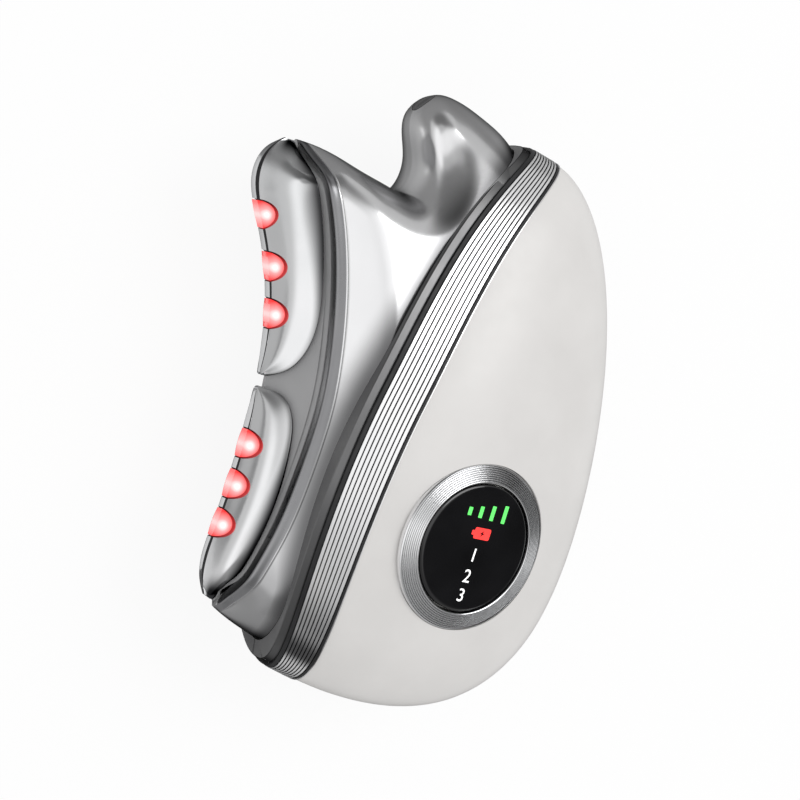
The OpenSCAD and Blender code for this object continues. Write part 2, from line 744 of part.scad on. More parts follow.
// Under the four level bars, the battery sign and the three mode lines.
light_at = [[-4.6, 6.8], [-1.6, 7.2], [1.6, 7.4], [4.6, 7.6], [0, 3.6], [-4.4, 0.2],
            [-4.4, -3.6], [-4.4, -7.4]];
module display_lights() {
    color("ivory")
        place()
            on_display()
                for (p = light_at)
                    translate([p.x - 0.8, p.y - 0.4, board_top])
                        cube([1.6, 0.8, 0.7]);
}
plunger_r = 1.0;
plunger_low = 1.0;          // the plunger's flange rests this far over the board
flange_t = 0.4;
switch_h = 2.1;
module switch_body() {
    color("darkgray")
        place()
            on_display()
                translate([0, 0, board_top])
                    difference() {
                        translate([-2.4, -2.4, 0])
                            cube([4.8, 4.8, switch_h]);
                        translate([0, 0, plunger_low - press_travel - 0.1])
                            cylinder(r = plunger_r + 0.05, h = 3, $fn = 32);
                        translate([0, 0, plunger_low - press_travel - 0.1])
                            cylinder(r = 1.6, h = press_travel + flange_t + 0.2, $fn = 32);
                    }
}
module switch_plunger() {
    color("dimgray")
        place()
            on_display()
                union() {
                    translate([0, 0, board_top + plunger_low])
                        cylinder(r = plunger_r, h = 1.85, $fn = 32);
                    translate([0, 0, board_top + plunger_low])
                        cylinder(r = 1.5, h = flange_t, $fn = 32);
                }
}

// ---------------------------------------------------------------- grip inside
tray_top = -1.0;
tray_t = 2.0;
tray_low = tray_top - tray_t;
cell_at = [8, -2.5, -rest_z + grip_wall + cell_d / 2];
module along_v() {
    rotate([-90, 0, 0])
        children();
}
tray_f = [0.02, 0.12, 0.25, 0.4, 0.55, 0.68, 0.78];
module tray_outline() {
    high = [for (f = tray_f) let(p = grip_point(f, 90, 3.2)) [max(4, p.x), p.y - 1]];
    low = [for (i = [len(tray_f) - 1 : -1 : 0])
        let(p = grip_point(tray_f[i], -90, 3.2))
        [max(4, p.x), p.y + 1]];
    polygon(concat(high, low, [[-3, -28], [-3, -11], [-16, -11], [-16, 11], [-3, 11], [-3, 28]]));
}
post_at = [[8, 8], [28, 4], [8, 37.5], [17, 31]];
leg_d = 2.6;
leg_at = [[0, -12], [0, 8], [15.7, -12], [15.7, -1]];
module chassis() {
    color("lightsteelblue")
        place() {
            difference() {
                translate([0, 0, tray_low])
                    linear_extrude(tray_t)
                        tray_outline();
                for (p = post_at)
                    translate([p.x, p.y, tray_low - 1])
                        cylinder(d = 1.7, h = tray_t + 2, $fn = 24);
                translate([19, -22, tray_low - 1])
                    cylinder(d = 13, h = tray_t + 2, $fn = 48);
                translate([16, 14, tray_low - 1])
                    cube([8, 10, tray_t + 2]);
            }
            for (p = post_at)
                translate([p.x, p.y, tray_top])
                    difference() {
                        cylinder(d = 4, h = 1.6, $fn = 32);
                        translate([0, 0, -1])
                            cylinder(d = 1.7, h = 4, $fn = 24);
                    }
            // two saddles that grip the cell from above
            for (v = [-18, 12])
                difference() {
                    translate([cell_at.x - 8, v - 1.2, cell_at.z])
                        cube([16, 2.4, tray_low - cell_at.z]);
                    translate([cell_at.x, v - 3, cell_at.z])
                        along_v()
                            cylinder(d = cell_d + 0.04, h = 6, $fn = 48);
                }
            // four legs down to the flat floor of the grip
            for (p = leg_at)
                translate([p.x, p.y, -rest_z + grip_wall])
                    cylinder(d = leg_d, h = tray_low + rest_z - grip_wall, $fn = 24);
            // two pads down to the board over the charging port
            for (u = [port_at.x - 4, port_at.x + 4])
                translate([u, port_at.y + 8, port_board_low + board_t])
                    cylinder(d = 3, h = tray_low - port_board_low - board_t, $fn = 24);
        }
}
board_low = tray_top + 1.6;
module board_outline() {
    polygon([[5, 4], [31, 0.5], [32, 6], [27.5, 18], [21.8, 30], [18, 36], [14, 40], [5, 40]]);
}
module main_board() {
    color("green")
        place()
            difference() {
                translate([0, 0, board_low])
                    linear_extrude(1.6)
                        board_outline();
                for (p = post_at)
                    translate([p.x, p.y, board_low - 1])
                        cylinder(d = 2.2, h = 4, $fn = 24);
            }
}
chip_top = board_low + 1.6;
module chip(p, size) {
    translate([p.x, p.y, chip_top])
        cube(size);
}
module board_chips() {
    color("black")
        place() {
            chip([8.5, 28.5], [6, 6, 1.1]);
            chip([17.5, 21.5], [4, 5, 1.3]);
            chip([27, 8], [2, 3, 1.0]);
            chip([6.5, 20], [3, 1.6, 0.9]);
            chip([6.5, 24], [3, 1.6, 0.9]);
            chip([20, 4.5], [2.4, 2.4, 1.6]);
        }
}
module board_screws() {
    color("gray")
        place()
            for (p = post_at)
                translate([p.x, p.y, 0]) {
                    translate([0, 0, chip_top])
                        cylinder(d = 3.2, h = 1.0, $fn = 32);
                    translate([0, 0, tray_low + 0.5])
                        cylinder(d = 1.6, h = chip_top - tray_low - 0.5, $fn = 24);
                }
}
module battery_cell() {
    color("royalblue")
        place()
            translate([cell_at.x, cell_at.y - cell_len / 2, cell_at.z])
                along_v() {
                    cylinder(d = cell_d, h = cell_len - 1, $fn = 64);
                    translate([0, 0, cell_len - 1])
                        cylinder(d = 4.6, h = 1, $fn = 32);
                }
}
module battery_contacts() {
    color("gold")
        place()
            for (end = [-1, 1])
                translate([cell_at.x - 4, cell_at.y + end * (cell_len / 2 + 0.25) - 0.2,
                           cell_at.z - 4])
                    cube([8, 0.4, tray_low - cell_at.z + 4]);
}

// Charging port at the lower end, below the middle plane and out of sight from above.
port_w = 9;
port_t = 3.2;
port_at = [19, -44.6, -6.2];
module at_port() {
    translate(port_at)
        rotate([90, 0, 0])
            children();
}
module port_bar(w, t, h) {
    hull_x = w / 2 - t / 2;
    linear_extrude(h)
        union() {
            translate([-hull_x, -t / 2])
                square([2 * hull_x, t]);
            for (x = [-hull_x, hull_x])
                translate([x, 0])
                    circle(d = t, $fn = 32);
        }
}
module port_shell() {
    color("silver")
        place()
            at_port()
                translate([0, 0, -7])
                    difference() {
                        port_bar(port_w, port_t, 7.5);
                        translate([0, 0, 1])
                            port_bar(port_w - 0.8, port_t - 0.8, 10);
                    }
}
module port_tongue() {
    color("black")
        place()
            at_port()
                translate([-3.3, -0.35, -6])
                    cube([6.6, 0.7, 5.2]);
}
// The port hangs from a small board under the chassis.
port_board_low = port_at.z + port_t / 2;
module port_board() {
    color("green")
        place()
            translate([port_at.x - 5.75, port_at.y + 3.4, port_board_low])
                cube([11.5, 10, board_t]);
}

motor_at = [11.5, 7, chip_top + 5.2];
motor_d = 8;
motor_len = 15;
module motor_can() {
    color("silver")
        place()
            translate(motor_at)
                along_v()
                    difference() {
                        cylinder(d = motor_d, h = motor_len, $fn = 48);
                        translate([0, 0, motor_len - 3])
                            cylinder(d = 1.1, h = 4, $fn = 32);
                    }
}
module motor_clip() {
    color("gray")
        place()
            difference() {
                translate([motor_at.x - 5, motor_at.y + 3, chip_top])
                    cube([10, 9, motor_at.z - chip_top + 1]);
                translate([motor_at.x, motor_at.y, motor_at.z])
                    along_v()
                        cylinder(d = motor_d + 0.02, h = 20, $fn = 48);
            }
}
shaft_end = motor_len + 7;
module motor_shaft() {
    color("gray")
        place()
            translate(motor_at)
                along_v()
                    translate([0, 0, motor_len - 2.9])
                        cylinder(d = 1, h = shaft_end - motor_len + 2.9, $fn = 32);
}
module motor_weight() {
    color("darkgoldenrod")
        place()
            translate(motor_at)
                along_v()
                    translate([0, 0, motor_len + 1.5])
                        difference() {
                            intersection() {
                                cylinder(r = 3.6, h = 4.5, $fn = 48);
                                translate([-5, -1.1, -1])
                                    cube([10, 10, 8]);
                            }
                            translate([0, 0, -1])
                                cylinder(d = 1, h = 8, $fn = 32);
                        }
}

coil_at = [20, 15, chip_top];
coil_size = [6, 8, 5];
coil_rim = 1.2;             // wall of the core's frame round the winding
coil_post_d = 2.4;
module coil_core() {
    window = coil_size - 2 * [0, coil_rim, coil_rim];
    color("darkslategray")
        place()
            translate(coil_at) {
                difference() {
                    translate([-coil_size.x / 2, -coil_size.y / 2, 0])
                        cube(coil_size);
                    translate([-coil_size.x, -window.y / 2, coil_rim])
                        cube([2 * coil_size.x, window.y, window.z]);
                }
                translate([0, 0, coil_rim - eps])
                    cylinder(d = coil_post_d, h = window.z + 2 * eps, $fn = 32);
            }
}
module coil_winding() {
    color("peru")
        place()
            translate(coil_at + [0, 0, coil_rim + 0.1])
                difference() {
                    cylinder(d = 5, h = coil_size.z - 2 * coil_rim - 0.2, $fn = 48);
                    translate([0, 0, -1])
                        cylinder(d = coil_post_d + 0.1, h = coil_size.z, $fn = 32);
                }
}

grip_shell();
ribbed_band();
neck_collar();
head_shell_front();
head_shell_back();
edge_frame();
electrode_upper();
electrode_lower();
lenses_upper();
lenses_lower();
prong_plug();
head_dowels();
light_board();
light_chips();
contact_pins();
chassis();
main_board();
board_chips();
board_screws();
battery_cell();
battery_contacts();
port_board();
port_shell();
port_tongue();
bezel_ring();
display_frame();
display_board();
display_lights();
switch_body();
switch_plunger();
display_lens();
lens_carrier();
motor_can();
motor_clip();
motor_shaft();
motor_weight();
coil_core();
coil_winding();
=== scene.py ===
import json
import math

import bmesh
import bpy
import numpy as np
from mathutils import Matrix, Vector
from mathutils.bvhtree import BVHTree

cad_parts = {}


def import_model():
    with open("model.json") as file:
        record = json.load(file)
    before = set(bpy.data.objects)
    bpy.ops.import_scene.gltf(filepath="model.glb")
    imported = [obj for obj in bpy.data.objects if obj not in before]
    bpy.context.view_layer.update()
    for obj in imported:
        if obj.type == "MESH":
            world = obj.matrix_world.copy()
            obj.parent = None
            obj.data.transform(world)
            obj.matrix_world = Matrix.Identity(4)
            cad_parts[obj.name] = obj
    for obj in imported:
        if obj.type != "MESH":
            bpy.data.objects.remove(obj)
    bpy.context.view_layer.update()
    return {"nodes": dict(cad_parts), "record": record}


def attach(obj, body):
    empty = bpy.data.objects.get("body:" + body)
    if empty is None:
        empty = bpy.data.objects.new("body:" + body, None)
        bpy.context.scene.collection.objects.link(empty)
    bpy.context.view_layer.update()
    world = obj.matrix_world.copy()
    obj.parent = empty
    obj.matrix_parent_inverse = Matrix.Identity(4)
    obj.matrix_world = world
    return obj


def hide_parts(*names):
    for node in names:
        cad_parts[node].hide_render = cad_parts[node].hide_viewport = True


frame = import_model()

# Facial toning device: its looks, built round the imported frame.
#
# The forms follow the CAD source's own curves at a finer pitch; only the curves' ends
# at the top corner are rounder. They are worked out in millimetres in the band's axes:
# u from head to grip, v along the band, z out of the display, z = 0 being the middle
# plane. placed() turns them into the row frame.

MM = 0.001
MIRROR = np.array([1, 1, -1])

# ---- driving sizes, mm
LEAN = math.radians(11)
REST_Z = 18.2
FLAT_U = 6.5

RING_A, RING_B, RING_N = 49.8, 17.9, 2.3
BAND_W, BAND_END_W = 8.6, 5.6
BAND_BOW = 10.2
BOW_LOW, BOW_HIGH = 2.0, 3.2        # powers of the bow below and above the middle
BAND_PROUD = 0.25
BAND_RIBS = 8
TIP_V = -19.0
GRIP_REACH = 40.0
GRIP_ROUND, GRIP_SIDE, BACK_ROUND = 1.8, 1.75, 2.2
BACK_FULL, FRONT_FULL = 14, 8       # swell behind the band, back and front
GRIP_WALL = 2.0

NECK_HALF = 16.2
LAND_HALF = 1.25
HEAD_WALL = 1.6
COLLAR_T = 1.6
EDGE_RUN = 17.0             # from the working edge to the full depth, at the top
RUN_LESS = 3.0              # and this much less at the foot
RISE_POWER = 1.6
EDGE_TRUE, EDGE_FADE = 3.0, 6.0     # EDGE_ON takes over from EDGE beyond this depth
ROUND_R = 8.0               # width of the rounding along foot and crown
ROUND_POWER = 2.2
REACH_LOW, REACH_HIGH = 49.4, 51.8
NECK_FOOT, NECK_FAN, NECK_CROWN = -46.8, 36.8, 47.4    # v where rows meet the collar
SCOOP_AT = np.array([-18.6, 40.0])  # shallow dip in the prong's root
SCOOP_SPAN = np.array([4.2, 6.5])
SCOOP_DEEP = 1.5

LENS_D = 5.4
LENS_HIGH = (0.589, 0.665, 0.758)
LENS_LOW = (0.242, 0.321, 0.387)
LENS_SWELL = 0.9
LENS_OUT = 0.7              # the lenses' round is centred this far outside the edge
LENS_PLAY = 0.06

DISPLAY_AT = np.array([15.2, -16.4, 15.6])
DISPLAY_LEAN = math.radians(15)
DISPLAY_DIP = math.radians(2.5)
BEZEL_R = 14.8
BEZEL_PLAY = 0.05
LENS_R = 11.2
BORE_R = 11.5
BEZEL_FALL = 0.9
BEZEL_RINGS = 8
FLANGE_LOW = -1.6
SKIRT_R = 14.2

PLUG_FACE = np.array([-24.6, 47.6, 0.0])
PLUG_D = 4.4
PORT_AT = np.array([19.0, -44.6, -6.2])
PORT_W, PORT_T = 9.0, 3.2
PORT_PLAY = 0.5
PORT_OUT, PORT_IN = 6.0, 14.0


def curve(*points):
    return np.array(points, float)


EDGE = curve((-18.4, -44.4), (-21.0, -41.8), (-22.4, -37.5), (-22.9, -32), (-24.0, -24.5),
             (-25.9, -15), (-28.3, -6), (-31.4, 2.5), (-35.9, 10.2), (-41.3, 16.5),
             (-45.8, 21.3), (-46.3, 27.2), (-43.2, 30.6))
# The working edge as the flank sees it: carried straight on past the foot and the tip.
EDGE_ON = curve((-21.6, -54), (-21.9, -45), (-22.4, -37.5), *EDGE[3:-2], (-50.3, 26.1),
                (-54.8, 30.9))
SEAM = curve((-16.4, -45.2), (-15.8, -41.6), (-16.1, -36), (-16.4, -28.5), (-17.4, -21),
             (-18.6, -13.5), (-20.0, -6.5), (-22.4, 0.8), (-25.5, 8), (-29.3, 15.0),
             (-33.3, 21.0), (-36.9, 25.4), (-39.7, 28.9), (-41.6, 31.0))
PAD_LOW = curve((-17.0, -44.8), (-16.9, -40), (-17.2, -34), (-17.6, -28), (-18.5, -22),
                (-19.6, -17.4), (-21.0, -12.6), (-22.6, -9.6), (-24.6, -7.8), (-27.8, -8.8))
PAD_HIGH = curve((-28.2, -7.0), (-25.7, -5.2), (-24.8, -1.8), (-25.2, 3.0), (-27.2, 8.4),
                 (-30.4, 14.6), (-34.4, 20.8), (-38.0, 25.1), (-40.4, 28.7), (-41.9, 30.6))


# ---- small helpers
def placed(p):
    """Band axes in mm to the row frame in metres."""
    p = np.asarray(p, float)
    u, v = p[..., 0] - FLAT_U, p[..., 1]
    c, s = math.cos(LEAN), math.sin(LEAN)
    return np.stack([u * c + v * s, v * c - u * s, p[..., 2] + REST_Z], -1) * MM


def unit01(x):
    return np.clip(x, 0, 1)


def smooth01(x):
    t = unit01(x)
    return t * t * (3 - 2 * t)


def spow(x, p):
    return np.sign(x) * np.abs(x) ** p


def lerp(a, b, t):
    return a + (b - a) * t


def length(p):
    return np.sqrt((p * p).sum(-1))


def spline_parts(ctrl, t):
    """Place, first and second derivative of a clamped cubic spline at t."""
    q = np.vstack([2 * ctrl[0] - ctrl[1], ctrl, 2 * ctrl[-1] - ctrl[-2]])
    k = len(q) - 3
    x = unit01(t) * k
    i = np.minimum(np.floor(x).astype(int), k - 1)
    y = (x - i)[..., None]
    a, b, c, d = q[i], q[i + 1], q[i + 2], q[i + 3]
    at = (a * (1 - y) ** 3 + b * (3 * y ** 3 - 6 * y ** 2 + 4)
          + c * (-3 * y ** 3 + 3 * y ** 2 + 3 * y + 1) + d * y ** 3) / 6
    slope = (-a * (1 - y) ** 2 + b * (3 * y ** 2 - 4 * y)
             + c * (-3 * y ** 2 + 2 * y + 1) + d * y ** 2) / 2 * k
    bend = (a * (1 - y) + b * (3 * y - 2) + c * (1 - 3 * y) + d * y) * k * k
    return at, slope, bend


def spline(ctrl, t):
    return spline_parts(ctrl, np.asarray(t, float))[0]


def curve_dist(p, ctrl, samples=140):
    """Distance in plan from points p to a spline, refined by Newton's method."""
    t = np.linspace(0, 1, samples + 1)
    c = spline(ctrl, t)
    flat = p.reshape(-1, 2)
    near = t[((flat[:, None, :] - c) ** 2).sum(-1).argmin(-1)]
    for _ in range(4):
        at, slope, bend = spline_parts(ctrl, near)
        gap = at - flat
        g = (gap * slope).sum(-1)
        h = (slope * slope).sum(-1) + (gap * bend).sum(-1)
        step = np.where(h > 1e-6, g / np.maximum(h, 1e-6), 0)
        near = unit01(near - np.clip(step, -1 / samples, 1 / samples))
    return length(spline(ctrl, near) - flat).reshape(p.shape[:-1])


def turns(steps):
    """Angles of evenly spaced points round a circle."""
    return np.linspace(0, 2 * np.pi, steps, endpoint=False)


def segment_dist(p, a, b):
    d = b - a
    t = unit01(((p - a) @ d) / (d @ d))
    return length(p - a - t[..., None] * d)


# ---- band and grip
def bow(r):
    return BAND_BOW * (1 - np.abs(r) ** np.where(r < 0, BOW_LOW, BOW_HIGH))


def half_band(phi):
    return lerp(BAND_END_W, BAND_W, np.abs(np.cos(phi))) / 2


def oval(phi):
    return spow(np.sin(phi), 2 / RING_N), spow(np.cos(phi), 2 / RING_N)


def ring_point(phi, grow, shift):
    ox, oy = oval(phi)
    return np.stack([shift - bow(ox), (RING_A + grow) * ox, (RING_B + grow) * oy], -1)


def grip_half(f, back):
    """Half depth of the grip at share f of its reach: the back is fuller."""
    full = RING_B * (1 - f ** 3) ** (1 / BACK_ROUND) + BACK_FULL * f * (1 - f) ** 2
    flat = RING_B * (1 - f ** GRIP_ROUND) ** 0.5 + FRONT_FULL * f * (1 - f) ** 3
    return np.where(back, full, flat)


def grip_point(f, phi, inset):
    """Point on the grip: f runs from the band to the tip, phi round it."""
    ox, oy = oval(phi)
    a = (RING_A - inset) * (1 - f ** GRIP_ROUND) ** (1 / GRIP_SIDE)
    b = np.maximum(0.05, grip_half(f, oy < 0) - inset * np.sqrt(1 - f ** 4))
    u = lerp(half_band(phi) - bow(ox), GRIP_REACH - inset, f)
    return np.stack([u, TIP_V * f ** GRIP_ROUND + a * ox, b * oy], -1)


def neck_end(v):
    r = v / RING_A
    return -bow(r) - half_band(np.arcsin(np.clip(spow(r, RING_N / 2), -1, 1))) - 0.05


def on_neck(v):
    return float(neck_end(np.array(v))), v


# ---- head form
FAN_W = 0.8                 # rows up to here run to the neck, those beyond it fan out
SEAM_AT_FAN = 0.84
FOOT_FROM = 0.2
FOOT = curve((-18.4, -44.4), (-16.4, -45.2), (-13.2, -45.9), (-10.2, -46.3), (-7, -46.6),
             on_neck(NECK_FOOT))
CROWN = curve((-41.6, 31.0), (-37.6, 31.9), (-30, 31.4), (-24, 31.7), (-20.8, 31.3),
              (-19.6, 34.0), (-20.6, 38), (-23.8, 41.5), (-25.6, 45.4), (-23.4, 50.0),
              (-18.4, 50.9), (-13, 50.2), (-9, 49.6), (-6, 48.2), on_neck(NECK_CROWN))
BASE = curve(spline(SEAM, SEAM_AT_FAN), (-34, 26.8), (-28, 27.0), (-23, 27.0),
             (-19.8, 27.2), (-17.8, 27.8), (-16.4, 28.6), (-15.4, 29.4), (-14.4, 30.2),
             (-13.4, 31.2), (-12.4, 32.2), (-11.5, 33.4), (-10.7, 34.6), (-10, 35.8),
             on_neck(NECK_FAN))
ROW_BOW = 2.8               # rows up the prong bow this far away from the notch
BOW_IN, BOW_OUT = (0.34, 0.1), (0.82, 0.25)     # s where that begins and ends, over how much


def outline_dist(p):
    shoulder = segment_dist(p, spline(EDGE, 1.0), CROWN[0])
    high = np.minimum(curve_dist(p, CROWN, 240), shoulder)
    return curve_dist(p, FOOT), high


def head_half(p):
    """Half depth of the head over plan points p."""
    p = np.asarray(p, float)
    e = curve_dist(p, EDGE)
    beyond = np.maximum(e, curve_dist(p, EDGE_ON))
    e = lerp(e, beyond, smooth01((e - EDGE_TRUE) / EDGE_FADE))
    low, high = outline_dist(p)
    d = np.minimum(low, high)
    run = EDGE_RUN - RUN_LESS * smooth01((5 - p[..., 1]) / 40)
    rise = 1 - (1 - np.minimum(e, run) / run) ** RISE_POWER
    reach = np.where(p[..., 1] < 0, REACH_LOW, REACH_HIGH)
    oval_fall = np.maximum(0, 1 - (np.abs(p[..., 1]) / reach) ** RING_N) ** (1 / RING_N)
    inside = 1 - np.minimum(d, ROUND_R) / ROUND_R
    edge_fall = (1 - inside ** ROUND_POWER) ** (1 / ROUND_POWER)
    plain = lerp(LAND_HALF, NECK_HALF, rise) * oval_fall * edge_fall
    s = (p - SCOOP_AT) / SCOOP_SPAN
    scoop = SCOOP_DEEP * np.exp(-(s * s).sum(-1)) * smooth01(high / 4)
    return np.maximum(0, plain - scoop)


def lifted(p, z):
    """Plan points p at the heights z."""
    return np.concatenate([p, z[..., None]], -1)


def head_point(p):
    return lifted(p, head_half(p))


def side_plan(x, w):
    return lerp(spline(EDGE, w), spline(SEAM, w), np.asarray(x)[..., None])


def body_plan(s, w):
    """Plan point of the plated shell: s from seam to neck, w from foot to crown."""
    s, w = np.broadcast_arrays(np.asarray(s, float), np.asarray(w, float))
    sv = s[..., None]
    x = unit01(w / FAN_W)
    end_v = lerp(NECK_FOOT, NECK_FAN, x)
    flank = np.stack([neck_end(end_v), end_v], -1)
    line = lerp(spline(SEAM, SEAM_AT_FAN * x), flank, sv)
    foot = spline(FOOT, lerp(FOOT_FROM, 1, s))
    base = spline(BASE, s)
    line0 = lerp(spline(SEAM, 0.0), np.array(on_neck(NECK_FOOT)), sv)
    line1 = lerp(spline(SEAM, SEAM_AT_FAN), np.array(on_neck(NECK_FAN)), sv)
    low = (line + (foot - line0) * (1 - x[..., None]) ** 3
           + (base - line1) * x[..., None] ** 4)
    y = unit01((w - FAN_W) / (1 - FAN_W))[..., None]
    seam_fix = spline(SEAM, lerp(SEAM_AT_FAN, 1, y[..., 0])) - lerp(BASE[0], CROWN[0], y)
    high = lerp(base, spline(CROWN, s), y) + seam_fix * (1 - sv) ** 6
    bowed = ROW_BOW * smooth01((s - BOW_IN[0]) / BOW_IN[1])
    bowed = bowed * smooth01((BOW_OUT[0] - s) / BOW_OUT[1])
    high[..., 0] += 4 * y[..., 0] * (1 - y[..., 0]) * bowed
    return np.where((w <= FAN_W)[..., None], low, high)


def skin_normal(f, a, b, h=0.04):
    """Unit normal of the surface f(a, b), from differences over a step h."""
    da = f(np.minimum(1, a + h), b) - f(np.maximum(0, a - h), b)
    db = f(a, np.minimum(1, b + h)) - f(a, np.maximum(0, b - h))
    c = np.cross(da, db)
    return c / np.maximum(1e-9, length(c))[..., None]


def sunk(f, a, b, deep, low):
    """Surface f(a, b) moved `deep` inwards along its normal, never below z = low."""
    a, b, deep = np.broadcast_arrays(a, b, deep)
    q = f(a, b) - deep[..., None] * skin_normal(f, a, b)
    q[..., 2] = np.maximum(q[..., 2], low)
    return q


def up_part(p, h=0.3):
    """How far the head's skin over p faces up, as the cosine of its slope."""
    a = (head_half(p + [h, 0]) - head_half(p - [h, 0])) / (2 * h)
    b = (head_half(p + [0, h]) - head_half(p - [0, h])) / (2 * h)
    return 1 / np.sqrt(1 + a * a + b * b)


def under_skin(p, deep, low):
    """The layer `deep` under the head's skin over p, never below z = low."""
    return lifted(p, np.maximum(low, head_half(p) - deep / np.maximum(0.3, up_part(p))))


def body_skin(s, w):
    return head_point(body_plan(s, w))


def spread(t):
    return (1 - np.cos(np.pi * t)) / 2


# ---- mesh making
def grid_quads(rows, cols, at=0, wrap=False):
    """Four corners for each cell of a grid of points whose first index is `at`."""
    i, j = np.meshgrid(np.arange(rows - 1), np.arange(cols if wrap else cols - 1),
                       indexing="ij")
    k = (j + 1) % cols
    quads = np.stack([i * cols + j, i * cols + k, (i + 1) * cols + k, (i + 1) * cols + j], -1)
    return quads.reshape(-1, 4) + at


def slab(outer, inner):
    """A closed skin between an outer and an inner grid of the same size."""
    n, m = outer.shape[:2]
    b = n * m
    rim = np.concatenate([np.arange(m), np.arange(1, n) * m + m - 1,
                          (n - 1) * m + np.arange(m - 2, -1, -1),
                          np.arange(n - 2, 0, -1) * m])
    nxt = np.roll(rim, -1)
    walls = np.stack([rim, rim + b, nxt + b, nxt], -1)
    points = np.concatenate([outer.reshape(-1, 3), inner.reshape(-1, 3)])
    return points, np.concatenate([grid_quads(n, m), grid_quads(n, m, b)[:, ::-1], walls])


def ring_solid(loops):
    """A closed ring of closed profiles: loops has one profile in each row."""
    n, m = loops.shape[:2]
    quads = grid_quads(n + 1, m, wrap=True) % (n * m)
    return loops.reshape(-1, 3), quads


def lathe(profile, steps=192):
    """A closed profile of (r, z) points turned round the z axis."""
    a = turns(steps)[:, None]
    r, z = np.array(profile, float).T
    loops = np.stack([r * np.cos(a), r * np.sin(a), z + 0 * a], -1)
    return ring_solid(loops)


def mesh_of(name, points, faces, sharp=32):
    mesh = bpy.data.meshes.new(name)
    mesh.from_pydata([tuple(p) for p in points], [], [tuple(int(i) for i in f) for f in faces])
    bm = bmesh.new()
    bm.from_mesh(mesh)
    bmesh.ops.recalc_face_normals(bm, faces=bm.faces)
    bm.to_mesh(mesh)
    bm.free()
    mesh.shade_smooth()
    mesh.set_sharp_from_angle(angle=math.radians(sharp))
    return mesh


def linked(name, data):
    obj = bpy.data.objects.new(name, data)
    bpy.context.scene.collection.objects.link(obj)
    return obj


def moved(solid, place):
    """A solid, which is a pair (points, faces), with its points put through place."""
    points, faces = solid
    return place(points), faces


def piece(name, solid, material, body="root", replaces=(), sharp=32):
    """A finished piece of the object, from a solid in metres in the row frame."""
    obj = linked(name, mesh_of(name, *solid, sharp))
    obj.data.materials.append(material)
    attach(obj, body)
    if replaces:
        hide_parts(*replaces)
    return obj


def second_material(obj, picked, material):
    """Gives the picked faces of a fresh piece a second material."""
    obj.data.materials.append(material)
    for face in np.flatnonzero(picked):
        obj.data.polygons[int(face)].material_index = 1     # 0 is the piece's own


def set_attribute(obj, name, amount):
    """One number per point, for the materials to read."""
    obj.data.attributes.new(name, "FLOAT", "POINT").data.foreach_set("value", amount)


def evaluated_mesh(obj):
    graph = bpy.context.evaluated_depsgraph_get()
    return bpy.data.meshes.new_from_object(obj.evaluated_get(graph))


def cut(obj, cutters, sharp=32):
    """Cuts closed solids, in metres in the row frame, out of obj."""
    tools = [linked("tool", mesh_of("tool", *c)) for c in cutters]
    for tool in tools:
        step = obj.modifiers.new("cut", "BOOLEAN")
        step.operation = "DIFFERENCE"
        step.solver = "EXACT"
        step.object = tool
    bpy.context.view_layer.update()
    mesh = evaluated_mesh(obj)
    obj.modifiers.clear()
    old = obj.data
    obj.data = mesh
    bpy.data.meshes.remove(old)
    for tool in tools:
        bpy.data.objects.remove(tool)
    obj.data.shade_smooth()
    obj.data.set_sharp_from_angle(angle=math.radians(sharp))


def prism(outline, low, high):
    """Points and faces of an outline of (x, y) drawn out from z = low to z = high."""
    n = len(outline)
    points = np.concatenate([np.column_stack([outline, low + np.zeros(n)]),
                             np.column_stack([outline, high + np.zeros(n)])])
    faces = [list(range(n))[::-1], [n + i for i in range(n)]]
    faces += [[i, (i + 1) % n, n + (i + 1) % n, n + i] for i in range(n)]
    return points, faces


def cylinder(radius, low, high, steps=96, centre=(0, 0)):
    a = turns(steps)
    ring = np.stack([centre[0] + radius * np.cos(a), centre[1] + radius * np.sin(a)], -1)
    return prism(ring, low, high)


# ---- materials
class Nodes:
    """Builds a node tree: values may be plain ones or other nodes' outputs."""

    def __init__(self, owner):
        owner.use_nodes = True
        self.tree = owner.node_tree

    def put(self, value, socket):
        if isinstance(value, bpy.types.NodeSocket):
            self.tree.links.new(value, socket)
        else:
            socket.default_value = value

    def node(self, kind, **values):
        made = self.tree.nodes.new(kind)
        for key, value in values.items():
            if key in made.inputs:
                self.put(value, made.inputs[key])
            else:
                setattr(made, key, value)
        return made

    def math(self, operation, a, b, kind="ShaderNodeMath"):
        made = self.node(kind, operation=operation)
        self.put(a, made.inputs[0])
        self.put(b, made.inputs[1])
        return made.outputs["Vector" if operation in ("NORMALIZE", "SUBTRACT") else "Value"]

    def map_range(self, value, start, stop, low, high, shape="LINEAR"):
        """value from start..stop to low..high."""
        made = self.node("ShaderNodeMapRange", interpolation_type=shape)
        for key, number in (("Value", value), ("From Min", start), ("From Max", stop),
                            ("To Min", low), ("To Max", high)):
            self.put(number, made.inputs[key])
        return made.outputs["Result"]

    def coords(self):
        return self.node("ShaderNodeTexCoord").outputs["Object"]


